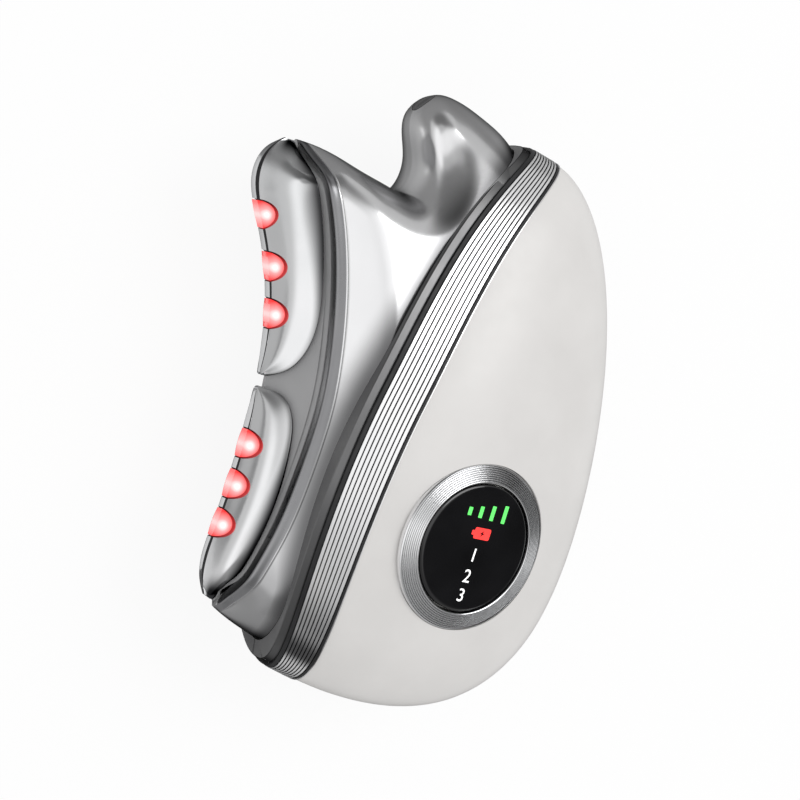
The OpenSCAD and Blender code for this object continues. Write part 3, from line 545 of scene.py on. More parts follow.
class Finish(Nodes):
    """Builds one procedural material: noise-driven colour, roughness and bump."""

    def __init__(self, name):
        self.mat = bpy.data.materials.new(name)
        super().__init__(self.mat)
        self.shader = next(n for n in self.tree.nodes if n.type == "BSDF_PRINCIPLED")
        self.place = self.coords()

    def noise(self, scale, detail=3.0, stretch=(1, 1, 1), turn=0.0):
        """Noise over the object, `scale` cells a metre, squeezed by stretch."""
        mapping = self.node("ShaderNodeMapping", Scale=stretch, Rotation=(0, 0, turn),
                            Vector=self.place)
        return self.node("ShaderNodeTexNoise", Scale=scale, Detail=detail,
                         Vector=mapping.outputs["Vector"]).outputs["Fac"]

    def attribute(self, name):
        return self.node("ShaderNodeAttribute", attribute_name=name).outputs["Fac"]

    def ramp(self, factor, low, high, start=0.3, stop=0.7):
        return self.map_range(factor, start, stop, low, high)

    def blend(self, factor, a, b):
        """Colour a to colour b by factor."""
        made = self.node("ShaderNodeMix", data_type="RGBA")
        self.put(factor, made.inputs["Factor"])
        for value, socket in ((a, made.inputs["A"]), (b, made.inputs["B"])):
            self.put((*value, 1) if isinstance(value, tuple) else value, socket)
        return made.outputs["Result"]

    def cloud(self, scale, detail, low, high):
        """Noise that swings between the numbers low and high."""
        return self.ramp(self.noise(scale, detail), low, high)

    def done(self, colour, rough, height, depth, **inputs):
        """Sets the shader's inputs: height is bumped out by up to depth mm."""
        bump = self.node("ShaderNodeBump", Distance=depth * MM, Height=height)
        inputs.update(Base_Color=colour, Roughness=rough, Normal=bump.outputs["Normal"])
        for key, value in inputs.items():
            self.put(value, self.shader.inputs[key.replace("_", " ")])
        return self.mat


def moulded(name, dark, light, rough=(0.35, 0.5), grain=2600, depth=0.004, **inputs):
    """Moulded plastic: cloudy colour, fine spark-eroded grain."""
    f = Finish(name)
    colour = f.blend(f.cloud(90, 4, 0, 1), dark, light)
    return f.done(colour, f.cloud(420, 3, *rough), f.noise(grain, 2), depth, **inputs)


EDGE_TINT = (0.1, 0.1, 0.1, 1)      # metals darken towards their outlines
# Near black that painted shade blends plated metal towards.
PAINTED_SHADE_COLOUR = (0.03, 0.03, 0.032)


def polished(name, dark, light, rough, depth=0.0006, scratch=900, metal=1.0, with_painted_shade=False):
    """Plated metal with faint hairlines and smudges.

    With painted shade, the colour turns to near black as the mesh's attribute for it rises.
    """
    f = Finish(name)
    colour = f.blend(f.cloud(60, 5, 0, 1), dark, light)
    if with_painted_shade:
        # painted shade: the colour darkens towards near black by a point attribute
        colour = f.blend(f.attribute("painted_shade"), colour, PAINTED_SHADE_COLOUR)
    hairlines = f.noise(scratch, 2, stretch=(1, 0.06, 1), turn=0.4)
    return f.done(colour, f.cloud(150, 6, *rough), hairlines, depth, Metallic=metal,
                  Specular_Tint=EDGE_TINT)


def board_face(name, dark, light):
    """Solder-masked circuit board with tracks showing through."""
    f = Finish(name)
    cells = f.node("ShaderNodeTexVoronoi", Scale=420.0, feature="DISTANCE_TO_EDGE",
                   Vector=f.place)
    tracks = f.ramp(cells.outputs["Distance"], 1, 0, 0.02, 0.06)
    return f.done(f.blend(tracks, dark, light), f.cloud(300, 3, 0.25, 0.4), tracks, 0.02)


def glowing(name, colour, strength):
    """A lit mark: coloured light with a slight unevenness of brightness."""
    f = Finish(name)
    mottled = f.blend(f.cloud(900, 2, 0, 1), tuple(0.8 * c for c in colour), colour)
    return f.done(mottled, f.cloud(500, 2, 0.3, 0.45), f.noise(1500, 2), 0.002,
                  Emission_Strength=f.cloud(700, 2, 0.9 * strength, strength),
                  Emission_Color=(*colour, 1))


def lens_finish():
    """Clear red lens lit from inside: white hot near the working edge, red outside."""
    f = Finish("lens_red")
    glow = f.attribute("glow")
    pink = f.blend(f.ramp(glow, 0, 1, 0.05, 0.7), (0.85, 0.03, 0.03), (1.0, 0.36, 0.36))
    white = f.blend(f.ramp(glow, 0, 1, 0.6, 1.1), pink, (1.0, 0.92, 0.90))
    colour = f.blend(f.cloud(500, 2, 0, 0.15), white, (0.9, 0.05, 0.05))
    return f.done(colour, f.cloud(260, 3, 0.12, 0.22), f.noise(1300, 2), 0.003,
                  Emission_Color=white, Emission_Strength=f.ramp(glow, 0.45, 0.85, 0.0, 1.0),
                  Coat_Weight=0.5)


BRIGHT = (0.88, 0.89, 0.90), (0.95, 0.95, 0.96)
PAD_CHROME = polished("pad_chrome", *BRIGHT, (0.12, 0.2), with_painted_shade=True)
CHROME = polished("bright_chrome", *BRIGHT, (0.10, 0.18))
PLATING = polished("head_plating", (0.93, 0.93, 0.94), (0.97, 0.97, 0.98), (0.19, 0.26),
                   with_painted_shade=True)
RIBS = polished("rib_chrome", (0.90, 0.90, 0.91), (0.97, 0.97, 0.97), (0.18, 0.26),
                metal=0.7, with_painted_shade=True)
# Bead trim: a rougher satin finish, whose darker gray is painted shade standing in for the
# bead's dark reflection.
BEAD_SATIN_PAINTED_SHADE = polished("bead_satin_painted_shade", (0.30, 0.30, 0.31), (0.36, 0.36, 0.37), (0.25, 0.33))
COLLAR = polished("collar_chrome", (0.15, 0.15, 0.152), (0.20, 0.20, 0.202), (0.28, 0.36))
SHADE = moulded("collar_shade", (0.10, 0.10, 0.102), (0.14, 0.14, 0.142), (0.5, 0.65))
# Black painted shade, for the band's grooves and borders and where the pads round into their
# land.
PAINTED_SHADE_BLACK = moulded("painted_shade_black", (0.006, 0.006, 0.007), (0.02, 0.02, 0.022), (0.4, 0.6))
PEARL = moulded("grip_pearl", (0.70, 0.685, 0.67), (0.74, 0.725, 0.71), (0.30, 0.42),
                grain=3000, depth=0.0025, Coat_Weight=0.15, Coat_Roughness=0.25)
CARRIER = moulded("carrier_gray", (0.34, 0.34, 0.345), (0.40, 0.40, 0.405), (0.42, 0.55))
PLUG = moulded("plug_black", (0.025, 0.025, 0.027), (0.05, 0.05, 0.052), (0.25, 0.4))
GLASS = moulded("display_black", (0.004, 0.004, 0.0045), (0.009, 0.009, 0.01), (0.06, 0.1),
                grain=600, depth=0.0008, Coat_Weight=0.6, Coat_Roughness=0.04)
LENS = lens_finish()
GREEN = glowing("bar_green", (0.11, 0.72, 0.13), 0.9)
RED = glowing("battery_red", (0.95, 0.04, 0.035), 0.9)
WHITE = glowing("numeral_white", (0.9, 0.9, 0.9), 0.85)

NODE_FINISH = {slot: make(slot, *values) for slot, make, *values in (
    ("board_green", board_face, (0.012, 0.09, 0.03), (0.03, 0.17, 0.06)),
    ("chip_black", moulded, (0.012, 0.012, 0.013), (0.03, 0.03, 0.032)),
    ("chip_ivory", moulded, (0.7, 0.66, 0.5), (0.82, 0.78, 0.6)),
    ("contact_gold", polished, (0.75, 0.5, 0.16), (0.9, 0.66, 0.27), (0.15, 0.3)),
    ("plain_steel", polished, (0.5, 0.5, 0.5), (0.62, 0.62, 0.61), (0.25, 0.4)),
    ("chassis_gray", moulded, (0.24, 0.25, 0.27), (0.3, 0.31, 0.33)),
    ("cell_sleeve", moulded, (0.02, 0.08, 0.3), (0.03, 0.12, 0.4), (0.2, 0.35)),
    ("carrier_white", moulded, (0.68, 0.68, 0.66), (0.76, 0.76, 0.74)),
    ("copper_wire", polished, (0.5, 0.2, 0.08), (0.7, 0.3, 0.12), (0.2, 0.4), 0.05, 2500),
    ("ferrite_dark", moulded, (0.03, 0.03, 0.035), (0.06, 0.06, 0.065), (0.6, 0.8)))}
NODE_FINISH.update(
    plug_black=PLUG, bright_chrome=CHROME, head_plating=PLATING, collar_chrome=COLLAR,
    carrier_gray=CARRIER, grip_pearl=PEARL, display_black=GLASS, lens_red=LENS)


# ---- head shells
BEAD_W = 1.4
BEAD_UP = 0.42
BEAD_NOSE = 0.2             # share of the bead's width that its round nose takes
BEAD_END = -0.06
VEE_W = 0.34
VEE_DEEP = 0.12
BEAD_COLS = 12
RIM_WALL = 3.6              # the wall is thicker along the crown, whose rows run aslant
PAINTED_SHADE_BESIDE, PAINTED_SHADE_WIDTH = 0.84, 5.0   # painted shade on the plating beside the collar
PAINTED_SHADE_FOOT, PAINTED_SHADE_FROM, PAINTED_SHADE_OVER = 0.5, -28.0, 10.0   # and from this v downwards


def body_columns(w, cols=84):
    """s of each column for rows w: the bead at true distances from the seam, then on."""
    bead = np.concatenate([BEAD_W * spread(np.linspace(0, 1, BEAD_COLS + 1)),
                           BEAD_W + VEE_W * np.array([0.25, 0.5, 0.75, 1.0])])
    fine = np.linspace(0, 0.5, 160)
    away = np.maximum.accumulate(curve_dist(body_plan(fine[None, :], w[:, None]), SEAM), 1)
    away = away - away[:, :1] + 1e-6 * fine
    near = np.stack([np.interp(bead, row, fine) for row in away])
    t = np.linspace(0, 1, cols + 1)[1:]
    far = lerp(near[:, -1:], 1, t + 0.03 * np.sin(2 * np.pi * t))
    return np.concatenate([near, far], 1), bead


def body_outer(rows):
    """Grid of the plated skin with the bead and groove that line its seam."""
    s, bead = body_columns(rows)
    w = rows[:, None] + 0 * s
    skin = body_skin(s, w)
    n = len(bead)
    t = bead / BEAD_W
    nose = BEAD_UP * np.sqrt(np.maximum(0, 1 - (1 - t / BEAD_NOSE) ** 2))
    ramp = lerp(BEAD_UP, BEAD_END, smooth01((t - BEAD_NOSE) / (1 - BEAD_NOSE)))
    vee = -VEE_DEEP * (1 - np.abs(2 * (bead - BEAD_W) / VEE_W - 1))
    rise = np.where(t <= BEAD_NOSE, nose, np.where(t <= 1, ramp, vee))
    ends = smooth01(rows / 0.03) * smooth01((1 - rows) / 0.03)
    skin[:, :n] = sunk(body_skin, s[:, :n], w[:, :n], -rise * ends[:, None], 0)
    skin[0, :, 2] = skin[-1, :, 2] = 0
    return skin


def body_inner(rows):
    """Grid of the shell's inside, a wall's thickness under the plain skin."""
    s, _ = body_columns(rows)
    w = rows[:, None] + 0 * s
    low = 0.1 * HEAD_WALL / length(body_plan(s, 0.1) - body_plan(s, 0.0))
    high = (1 - FAN_W) * RIM_WALL / length(body_plan(s, 1.0) - body_plan(s, FAN_W))
    inside = under_skin(body_plan(s, lerp(low, 1 - high, w)), HEAD_WALL, 0)
    inside[0, :, 2] = inside[-1, :, 2] = 0
    return inside


def head_painted_shade(p):
    """How much painted shade darkens the head's plating: beside the collar and towards the
    foot.
    """
    gap = neck_end(p[..., 1]) - COLLAR_T - p[..., 0]
    beside = PAINTED_SHADE_BESIDE * smooth01(1 - gap / PAINTED_SHADE_WIDTH)
    foot = PAINTED_SHADE_FOOT * smooth01((PAINTED_SHADE_FROM - p[..., 1]) / PAINTED_SHADE_OVER)
    return np.maximum(beside, foot).ravel()


def head_shells():
    t = np.linspace(0, 1, 151)
    rows = lerp(t, spread(t), 0.75)
    outer, inner = body_outer(rows), body_inner(rows)
    for flip, name in ((1, "head_shell_front"), (MIRROR, "head_shell_back")):
        points, faces = moved(slab(outer * flip, inner * flip), placed)
        obj = piece(name + "_skin", (points, faces), PLATING, replaces=[name])
        column = faces % outer.shape[1]
        bead = (faces.max(1) < outer.shape[0] * outer.shape[1]) & (column.max(1) <= BEAD_COLS)
        # the bead's faces take the satin finish with its painted shade
        second_material(obj, bead, BEAD_SATIN_PAINTED_SHADE)
        # painted shade beside the collar and towards the foot
        set_attribute(obj, "painted_shade", np.tile(head_painted_shade(outer), 2))
        yield obj


# ---- carrier and pads
SEAT_DEEP = 1.5
SEAM_GAP = 0.7
LIP_REACH = 1.4
CARRIER_DEEP = 3.2
EDGE_ROWS = 6               # rows that round each pad off into its land


def both_sides(half):
    """A grid over the front and, mirrored, the back, joined at the working edge."""
    back = half[:, ::-1] * MIRROR
    return np.concatenate([half, back], 1)


def rim_point(w, deep, low, beyond):
    d = side_plan(1.0, w) - side_plan(0.0, w)
    p = side_plan(1.0, w) + d / length(d)[..., None] * np.asarray(beyond)[..., None]
    return under_skin(p, deep, low)[:, None]


def carrier_grid(w, deep, lip_deep, low, inset):
    """Rows from the lip over the seam to `inset` short of the working edge."""
    lip = LIP_REACH * smooth01(8 * w - 0.4) * smooth01(8 * (1 - w) - 0.4) - 0.3
    run = length(side_plan(1.0, w) - side_plan(0.0, w))
    gap = np.minimum(SEAM_GAP, 0.3 * run)
    last = np.maximum(0.6 * run, run - inset)
    face = [rim_point(w, deep, low, -lerp(gap, last, x)) for x in np.linspace(0, 1, 24)]
    return np.concatenate([rim_point(w, lip_deep, low, lip),
                           rim_point(w, lip_deep, low, 0.1 - gap), *face], 1)


def edge_axes(t):
    """Unit directions along the working edge at t and into the head."""
    d = spline(EDGE, t + 0.01) - spline(EDGE, t - 0.01)
    d = d / length(d)
    return d, np.array([d[1], -d[0]])


def edge_cutters(places):
    """Upright cylinders that cut the lenses' seats at the given places of the edge."""
    cutters = []
    for t in places:
        centre = spline(EDGE, t) - LENS_OUT * edge_axes(t)[1]
        cutters.append(moved(cylinder(LENS_D / 2 + LENS_PLAY, -12, 12, centre=centre), placed))
    return cutters


def edge_carrier():
    t = np.linspace(0, 1, 121)
    w = lerp(0.02, 0.99, spread(t) * 0.6 + t * 0.4)
    outer = both_sides(carrier_grid(w, SEAT_DEEP, HEAD_WALL + 0.15, 0.3, 1.35))
    inner = both_sides(carrier_grid(w, CARRIER_DEEP, CARRIER_DEEP, 0.2, 3.0))
    obj = piece("edge_carrier", moved(slab(outer, inner), placed), CARRIER,
                replaces=["edge_frame"])
    cut(obj, edge_cutters(LENS_HIGH + LENS_LOW))


PAD_EDGE_DROP = 1.2
PAD_SWELL = 0.9
PAD_DEEP = 1.3
PAD_TUCK = 0.08
FILLET = 0.3                # rounding between the working edge's land and the pads
LAND_LOW = 0.42             # a pad's front keeps this far off the middle plane
PAD_SHARE = 0.985           # of the way from the edge to the pad's border
PAINTED_SHADE_START = (0.86, 0.50)  # where painted shade starts, as a share of a pad's width, at its near and far ends
PAINTED_SHADE_NEAR = 0.4            # how strong the painted shade is at the near end
PAINTED_SHADE_END = 0.82            # the far end is painted dark across from here on, as shade


def pad_grids(border, w0, w1, rows=120):
    """Skins of one pad, a pillow with a narrow land at its edge, and their x and q."""
    def plan(x, q):
        return lerp(spline(EDGE, lerp(w0, w1, q)), spline(border, q), np.asarray(x)[..., None])

    def skin(x, q):
        return head_point(plan(x, q))

    t = np.linspace(0, 1, rows + 1)
    q = lerp(0.012, 0.988, spread(t) * 0.8 + t * 0.2)[:, None]
    u = np.linspace(0, 1, 52)[:-1]
    x = (PAD_SHARE * (1 - u ** 2.2))[None, :]
    x, q = np.broadcast_arrays(x, q)
    crown = (np.sqrt(np.maximum(0, 1 - x ** 2.4))
             * np.sqrt(np.maximum(0, 1 - np.abs(2 * q - 1) ** 6)))
    top = skin(x, q)
    top[..., 2] += lerp(-PAD_EDGE_DROP, PAD_SWELL * np.sin(np.pi * x) ** 2, crown)
    top[..., 2] = np.maximum(top[..., 2], LAND_LOW + 0.03)
    corner = skin(0 * q[:, :1], q[:, :1])
    corner[..., 2] = np.minimum(corner[..., 2], top[:, -1:, 2])
    land = corner - [0, 0, FILLET]
    land[..., 2] = np.maximum(land[..., 2], LAND_LOW)
    k = np.linspace(0, 1, EDGE_ROWS + 1)[1:][None, :, None]
    fillet = top[:, -1:] * (1 - k) ** 2 + corner * 2 * k * (1 - k) + land * k * k
    outer = np.concatenate([top, fillet], 1)
    x_in = np.concatenate([x, x[:, -1:] * (1 - k[..., 0])], 1)
    q_in = q[:, :1] + 0 * x_in
    inner = sunk(skin, x_in * (1 - PAD_TUCK), q_in, PAD_DEEP + 0 * x_in, 0.36)
    return both_sides(outer), both_sides(inner), x_in, q_in


def painted_shade(x, q, far_end):
    """How much painted shade darkens the plating: towards the inner border and the far end."""
    q = q if far_end else 1 - q
    start = lerp(*PAINTED_SHADE_START, smooth01((q - 0.3) / 0.45))
    strength = lerp(PAINTED_SHADE_NEAR, 1, smooth01((q - 0.2) / 0.35))
    end = smooth01((q - PAINTED_SHADE_END) / 0.13) * smooth01((x - 0.02) / 0.35)
    return np.maximum(smooth01((x - start) / (1.0 - start)) * strength, end)


def electrode(name, border, w0, w1, places, far_end):
    """A pad from w0 to w1 of the working edge; far_end says which end gets the painted shade.
    """
    outer, inner, x, q = pad_grids(border, w0, w1)
    points, faces = moved(slab(outer, inner), placed)
    obj = piece(name + "_pad", (points, faces), PAD_CHROME, replaces=[name])
    # painted shade, standing in for dark reflections along the pad's border and far end
    half = painted_shade(x, q, far_end)
    grid = np.concatenate([half, half[:, ::-1]], 1).ravel()
    set_attribute(obj, "painted_shade", np.tile(grid, 2))
    column = faces % outer.shape[1]
    first = x.shape[1] - EDGE_ROWS - 1      # the front's rounding into its land is painted black, as shade
    line = ((faces.max(1) < len(grid)) & (column.min(1) >= first)
            & (column.max(1) < first + EDGE_ROWS))
    # black painted shade standing in for the fillet's dark reflection
    second_material(obj, line, PAINTED_SHADE_BLACK)
    cut(obj, edge_cutters(places))


# ---- light lenses
LENS_GAP = 0.16             # dark gap left round each lens


def lens_grid(t, x, q):
    """Front of a lens at t: x runs into the head, q along the edge, -1 to 1."""
    r = LENS_D / 2 - LENS_GAP
    d, m = edge_axes(t)
    c = spline(EDGE, t) - 0.03 * m
    reach = x * (r * np.sqrt(1 - q * q) - LENS_OUT)
    p = c + r * q[..., None] * d + reach[..., None] * m
    up = LENS_SWELL * (1 - q * q) * (1 - x ** 4) * smooth01(x * 3 + 0.2)
    return lifted(p, head_half(p) + up)


def lens_piece(name, places):
    q = np.sin(np.linspace(-1, 1, 41) * math.asin(0.955))[:, None]
    x = spread(np.linspace(1, 0, 22))[None, :]
    x, q = np.broadcast_arrays(x, q)
    points, faces, glow = [], [], []
    for t in places:
        front = lens_grid(t, x, q)
        p, f = moved(slab(front, front * MIRROR), placed)
        faces.append(f + sum(len(a) for a in points))
        points.append(p)
        cut_off = LENS_OUT / (LENS_D / 2)
        reach = x * (np.sqrt(1 - q * q) - cut_off) / (1 - cut_off)
        spot = np.sqrt(((reach - 0.3) / 0.8) ** 2 + ((q + 0.05) / 0.9) ** 2)
        glow.append(np.tile(np.clip(1.05 - spot, 0, 1).ravel(), 2))
    obj = piece(name + "_lit", (np.concatenate(points), np.concatenate(faces)), LENS,
                replaces=[name], sharp=40)
    set_attribute(obj, "glow", np.concatenate(glow))


# ---- band and collar
RIB_BORDER = 0.8
RIB_CUT = 0.28
RIB_HALF = 0.11             # half width of each groove between ribs
LINE_LEFT, LINE_RIGHT = 0.4, 0.7    # black painted shade lines along the band's two borders
# Painted shade on the band's plating at its lower end: the v it starts at, over how much, the
# amount.
BAND_PAINTED_SHADE = ((-33, 8, 0.55), (-42, 3, 0.35), (-46, 2, -0.85))


def band_profile(phi):
    """Profiles round the band with the kind of each point: 1 on a face painted black as shade.
    """
    w = half_band(phi)
    top = BAND_PROUD
    pitch = 2 * (w - RIB_BORDER) / BAND_RIBS
    steps = [(-w, -0.9, 1), (-w, top - 0.15, 1), (-w + 0.1, top - 0.08, 1),
             (-w + LINE_LEFT, top - 0.08, 1)]
    for k in range(BAND_RIBS + 1):
        mid = -w + RIB_BORDER + k * pitch
        if k:
            steps.append((mid - RIB_HALF - 0.04, top, 0))
        steps += [(mid - RIB_HALF, top - 0.04, 1), (mid, top - RIB_CUT, 1),
                  (mid + RIB_HALF, top - 0.04, 1)]
        if k < BAND_RIBS:
            steps += [(mid + RIB_HALF + 0.04, top, 0), (mid + pitch / 2, top + 0.03, 0)]
    steps += [(w - LINE_RIGHT, top - 0.1, 1), (w - 0.24, top - 0.1, 1), (w - 0.2, top, 0),
              (w - 0.05, top, 0), (w, top - 0.12, 0), (w, -0.9, 0)]
    loops = np.stack([ring_point(phi, grow, shift) for shift, grow, _ in steps], 1)
    return loops, np.array([kind for _, _, kind in steps])


def ribbed_band():
    phi = turns(300)
    loops, kind = band_profile(phi)
    points, faces = ring_solid(loops)
    obj = piece("ribbed_band_chrome", (placed(points), faces), RIBS,
                replaces=["ribbed_band"], sharp=20)
    # the grooves and border lines get black painted shade
    second_material(obj, kind[faces % len(kind)].min(1) > 0, PAINTED_SHADE_BLACK)
    # painted shade at the band's lower end
    set_attribute(obj, "painted_shade", sum(amount * smooth01((start - points[:, 1]) / over)
                                    for start, over, amount in BAND_PAINTED_SHADE))


NECK_GAP = 0.12
NECK_REACH = ((NECK_FOOT, NECK_CROWN), (-46.9, 48.1))   # v on the band side, head side


def neck_hole(t, side):
    """The collar's hole round the neck, on its head side (1) or its band side (0)."""
    def section(t):
        v = lerp(*NECK_REACH[side], spread(t))
        return np.stack([v, head_half(np.stack([neck_end(v) - side * COLLAR_T, v], -1))], -1)

    c = section(t)
    d = section(np.minimum(1, t + 0.01)) - section(np.maximum(0, t - 0.01))
    m = np.stack([-d[:, 1], d[:, 0]], -1) / length(d)[:, None] * NECK_GAP
    z = np.maximum(NECK_GAP, c[:, 1] + m[:, 1])
    return np.stack([neck_end(c[:, 0]) + 0.05 - side * COLLAR_T, c[:, 0] + m[:, 0], z], -1)


def neck_collar():
    t = np.linspace(0, 1, 121)
    phi = lerp(-np.pi / 2, np.pi / 2, t)
    w = half_band(phi) + 0.02
    rim = ring_point(phi, -0.35, 0)
    rim_in = ring_point(phi, -0.5, 0)
    shift = np.stack([w, 0 * w, 0 * w], -1)
    thick = np.array([COLLAR_T, 0, 0])
    soft = np.array([COLLAR_T - 0.15, 0, 0])
    half = np.stack([rim - shift, rim - shift - soft, rim_in - shift - thick,
                     neck_hole(t, 1), neck_hole(t, 0)], 1)
    back = half[-2:0:-1] * MIRROR
    points, faces = ring_solid(np.concatenate([half, back]))
    obj = piece("neck_collar_ring", (placed(points), faces), COLLAR,
                replaces=["neck_collar"], sharp=25)
    column = faces % half.shape[1]
    # the collar's face towards the head is painted dark, as shade
    painted_shade_face = (column.min(1) == 2) & (column.max(1) == 3)
    second_material(obj, painted_shade_face, SHADE)


# ---- grip
def display_axes():
    """Axes of the display, one to a row, in band axes."""
    cl, sl = math.cos(DISPLAY_LEAN), math.sin(DISPLAY_LEAN)
    cd, sd = math.cos(DISPLAY_DIP), math.sin(DISPLAY_DIP)
    return np.array([[cl, 0, -sl], [sl * sd, cd, cl * sd], [sl * cd, -sd, cl * cd]])


def on_display(points):
    return placed(np.asarray(points) @ display_axes() + DISPLAY_AT)


def display_cylinder(radius, low, high):
    return moved(cylinder(radius, low, high, 160), on_display)


def port_cutter():
    """The rounded slot of the charging port, through the grip's lower wall."""
    r = (PORT_T + PORT_PLAY) / 2
    half = (PORT_W + PORT_PLAY) / 2 - r
    a = np.linspace(-np.pi / 2, np.pi / 2, 17)
    right = np.stack([half + r * np.cos(a), r * np.sin(a)], -1)
    outline = np.concatenate([right, -right]) + PORT_AT[[0, 2]]
    points, faces = prism(outline, PORT_AT[1] - PORT_OUT, PORT_AT[1] + PORT_IN)
    return placed(points[:, [0, 2, 1]]), faces


def grip_grid(inset, floor_z, rows=72, cols=216):
    f = np.sin(np.radians(88.5) * np.linspace(0, 1, rows + 1))[:, None]
    phi = turns(cols)[None, :]
    p = grip_point(f, phi, inset)
    p[..., 2] = np.maximum(p[..., 2], floor_z)
    return p


def grip():
    outer = grip_grid(0, -REST_Z)
    inner = grip_grid(GRIP_WALL, GRIP_WALL - REST_Z)
    n, m = outer.shape[:2]
    b = n * m
    tips = np.array([[GRIP_REACH, TIP_V, 0], [GRIP_REACH - GRIP_WALL, TIP_V, 0]])
    points = np.concatenate([outer.reshape(-1, 3), inner.reshape(-1, 3), tips])
    faces = grid_quads(n, m, wrap=True).tolist() + grid_quads(n, m, b, wrap=True).tolist()
    j = np.arange(m)
    k = (j + 1) % m
    last = (n - 1) * m
    faces += np.stack([j, b + j, b + k, k], -1).tolist()
    faces += np.stack([last + j, last + k, 0 * j + 2 * b], -1).tolist()
    faces += np.stack([b + last + k, b + last + j, 0 * j + 2 * b + 1], -1).tolist()
    obj = piece("grip_moulding", (placed(points), faces), PEARL,
                replaces=["grip_shell"])
    cut(obj, [display_cylinder(BEZEL_R + BEZEL_PLAY, FLANGE_LOW, 12),
              display_cylinder(SKIRT_R + BEZEL_PLAY, -8, 11), port_cutter()])


# ---- display
def bezel_profile():
    run = BEZEL_R - BORE_R
    step = (run - 0.5) / BEZEL_RINGS

    def top(r):
        return 0.25 - BEZEL_FALL * (r - BORE_R) / run

    points = [(BORE_R, -0.1), (BORE_R + 0.08, 0.12)]
    for k in range(BEZEL_RINGS):
        r = BORE_R + 0.2 + k * step
        for share, drop in ((0.05, 0.05), (0.18, 0.0), (0.4, -0.02), (0.62, 0.0),
                            (0.74, 0.05), (0.87, 0.2)):
            points.append((r + share * step, top(r + share * step) - drop))
    points += [(BEZEL_R - 0.25, top(BEZEL_R) + 0.05), (BEZEL_R - 0.08, top(BEZEL_R) - 0.06),
               (BEZEL_R, top(BEZEL_R) - 0.25), (BEZEL_R, FLANGE_LOW), (SKIRT_R, FLANGE_LOW),
               (SKIRT_R, -4.6), (12.8, -4.6), (12.8, -2.0), (BORE_R, -2.0)]
    return points


def dome(r):
    """Height of the display glass at radius r."""
    return 0.12 - 0.06 * (r / (LENS_R - 3)) ** 2


def display():
    piece("bezel_ring_chrome", moved(lathe(bezel_profile(), 256), on_display), CHROME,
          replaces=["bezel_ring"], sharp=40)
    radii = np.linspace(LENS_R - 0.35, 0.02, 26)
    profile = [(0.02, -1.2), (LENS_R, -1.2), (LENS_R, -0.28), (LENS_R - 0.04, -0.16),
               (LENS_R - 0.16, -0.07)] + [(r, float(dome(r))) for r in radii]
    piece("display_glass", moved(lathe(profile, 192), on_display), GLASS,
          body="button", replaces=["display_lens"])


MARK_TURN = math.radians(14)
MARK_T = 0.03               # how far a lit mark stands on the glass
MARK_SUNK = 0.02
BARS = ((-3.35, 5.5, 6.95), (-0.93, 5.38, 7.4), (1.62, 5.24, 7.83), (4.28, 5.15, 8.27))
BAR_W = 0.8
BATTERY_AT = (0.7, 2.75)
BATTERY_SIZE = (3.5, 2.0)
ROWS_AT = (-1.1, -4.85, -8.3)
NUMERAL_X = 0.4
NUMERAL_H = 2.3


def mark_turned(xy):
    """Points of the marks' upright drawing, in mm, to the display's axes."""
    c, s = math.cos(MARK_TURN), math.sin(MARK_TURN)
    return np.asarray(xy) @ np.array([[c, s], [-s, c]])


def mark_solid(outline):
    """A thin closed plate on the glass from a counter-clockwise outline."""
    xy = mark_turned(outline)
    z = dome(length(xy))
    return moved(prism(xy, z - MARK_SUNK, z + MARK_T), on_display)


def mark(name, outline, material):
    return piece(name, mark_solid(outline), material, body="button")


def rounded(x0, y0, x1, y1, r, steps=5):
    """Outline of a box with rounded corners."""
    points = []
    for cx, cy, start in ((x1 - r, y0 + r, -90), (x1 - r, y1 - r, 0), (x0 + r, y1 - r, 90),
                          (x0 + r, y0 + r, 180)):
        for k in range(steps + 1):
            a = math.radians(start + 90 * k / steps)
            points.append((cx + r * math.cos(a), cy + r * math.sin(a)))
    return points


def marks():
    for k, (x, y0, y1) in enumerate(BARS):
        mark(f"level_bar_{k + 1}", rounded(x - BAR_W / 2, y0, x + BAR_W / 2, y1, 0.1), GREEN)
    x, y = BATTERY_AT
    w, h = BATTERY_SIZE
    case = mark("battery_sign", rounded(x - w / 2, y - h / 2, x + w / 2, y + h / 2, 0.35), RED)
    bolt = [(0.35, 0.62), (-0.55, -0.08), (-0.1, -0.08), (-0.35, -0.62), (0.55, 0.08),
            (0.1, 0.08)]
    cutter, cut_faces = mark_solid([(x + a, y + b) for a, b in bolt])
    axis = display_axes()[2]
    lift = placed(axis + np.array([FLAT_U, 0, -REST_Z])) * 0.3
    n = len(bolt)
    cutter = np.concatenate([cutter[:n] - lift, cutter[n:] + lift])
    cut(case, [(cutter, cut_faces)])
    nub = rounded(x - w / 2 - 0.55, y - 0.42, x - w / 2 + 0.02, y + 0.42, 0.15)
    mark("battery_sign_nub", nub, RED)


def numeral(text, x, y):
    data = bpy.data.curves.new("numeral", "FONT")
    data.body = text
    data.size = 1.0
    data.extrude = 0.01
    obj = linked("numeral", data)
    bpy.context.view_layer.update()
    mesh = evaluated_mesh(obj)
    bpy.data.objects.remove(obj)
    co = np.array([v.co for v in mesh.vertices], float)
    low, high = co.min(0), co.max(0)
    scale = NUMERAL_H / (high[1] - low[1])
    xy = mark_turned((co[:, :2] - (low[:2] + high[:2]) / 2) * scale + np.array([x, y]))
    z = dome(length(xy)) + np.where(co[:, 2] > 0, MARK_T, -MARK_SUNK)
    solid = on_display(lifted(xy, z)), [tuple(f.vertices) for f in mesh.polygons]
    piece(f"mode_numeral_{text}", solid, WHITE, body="button")
    bpy.data.meshes.remove(mesh)


# ---- prong plug
PLUG_TURN = math.radians(17)    # the dish looks this far from -u towards +v
PLUG_DEEP = 3.4
PLUG_OUT = 6.0              # rays towards the skin start this far outside


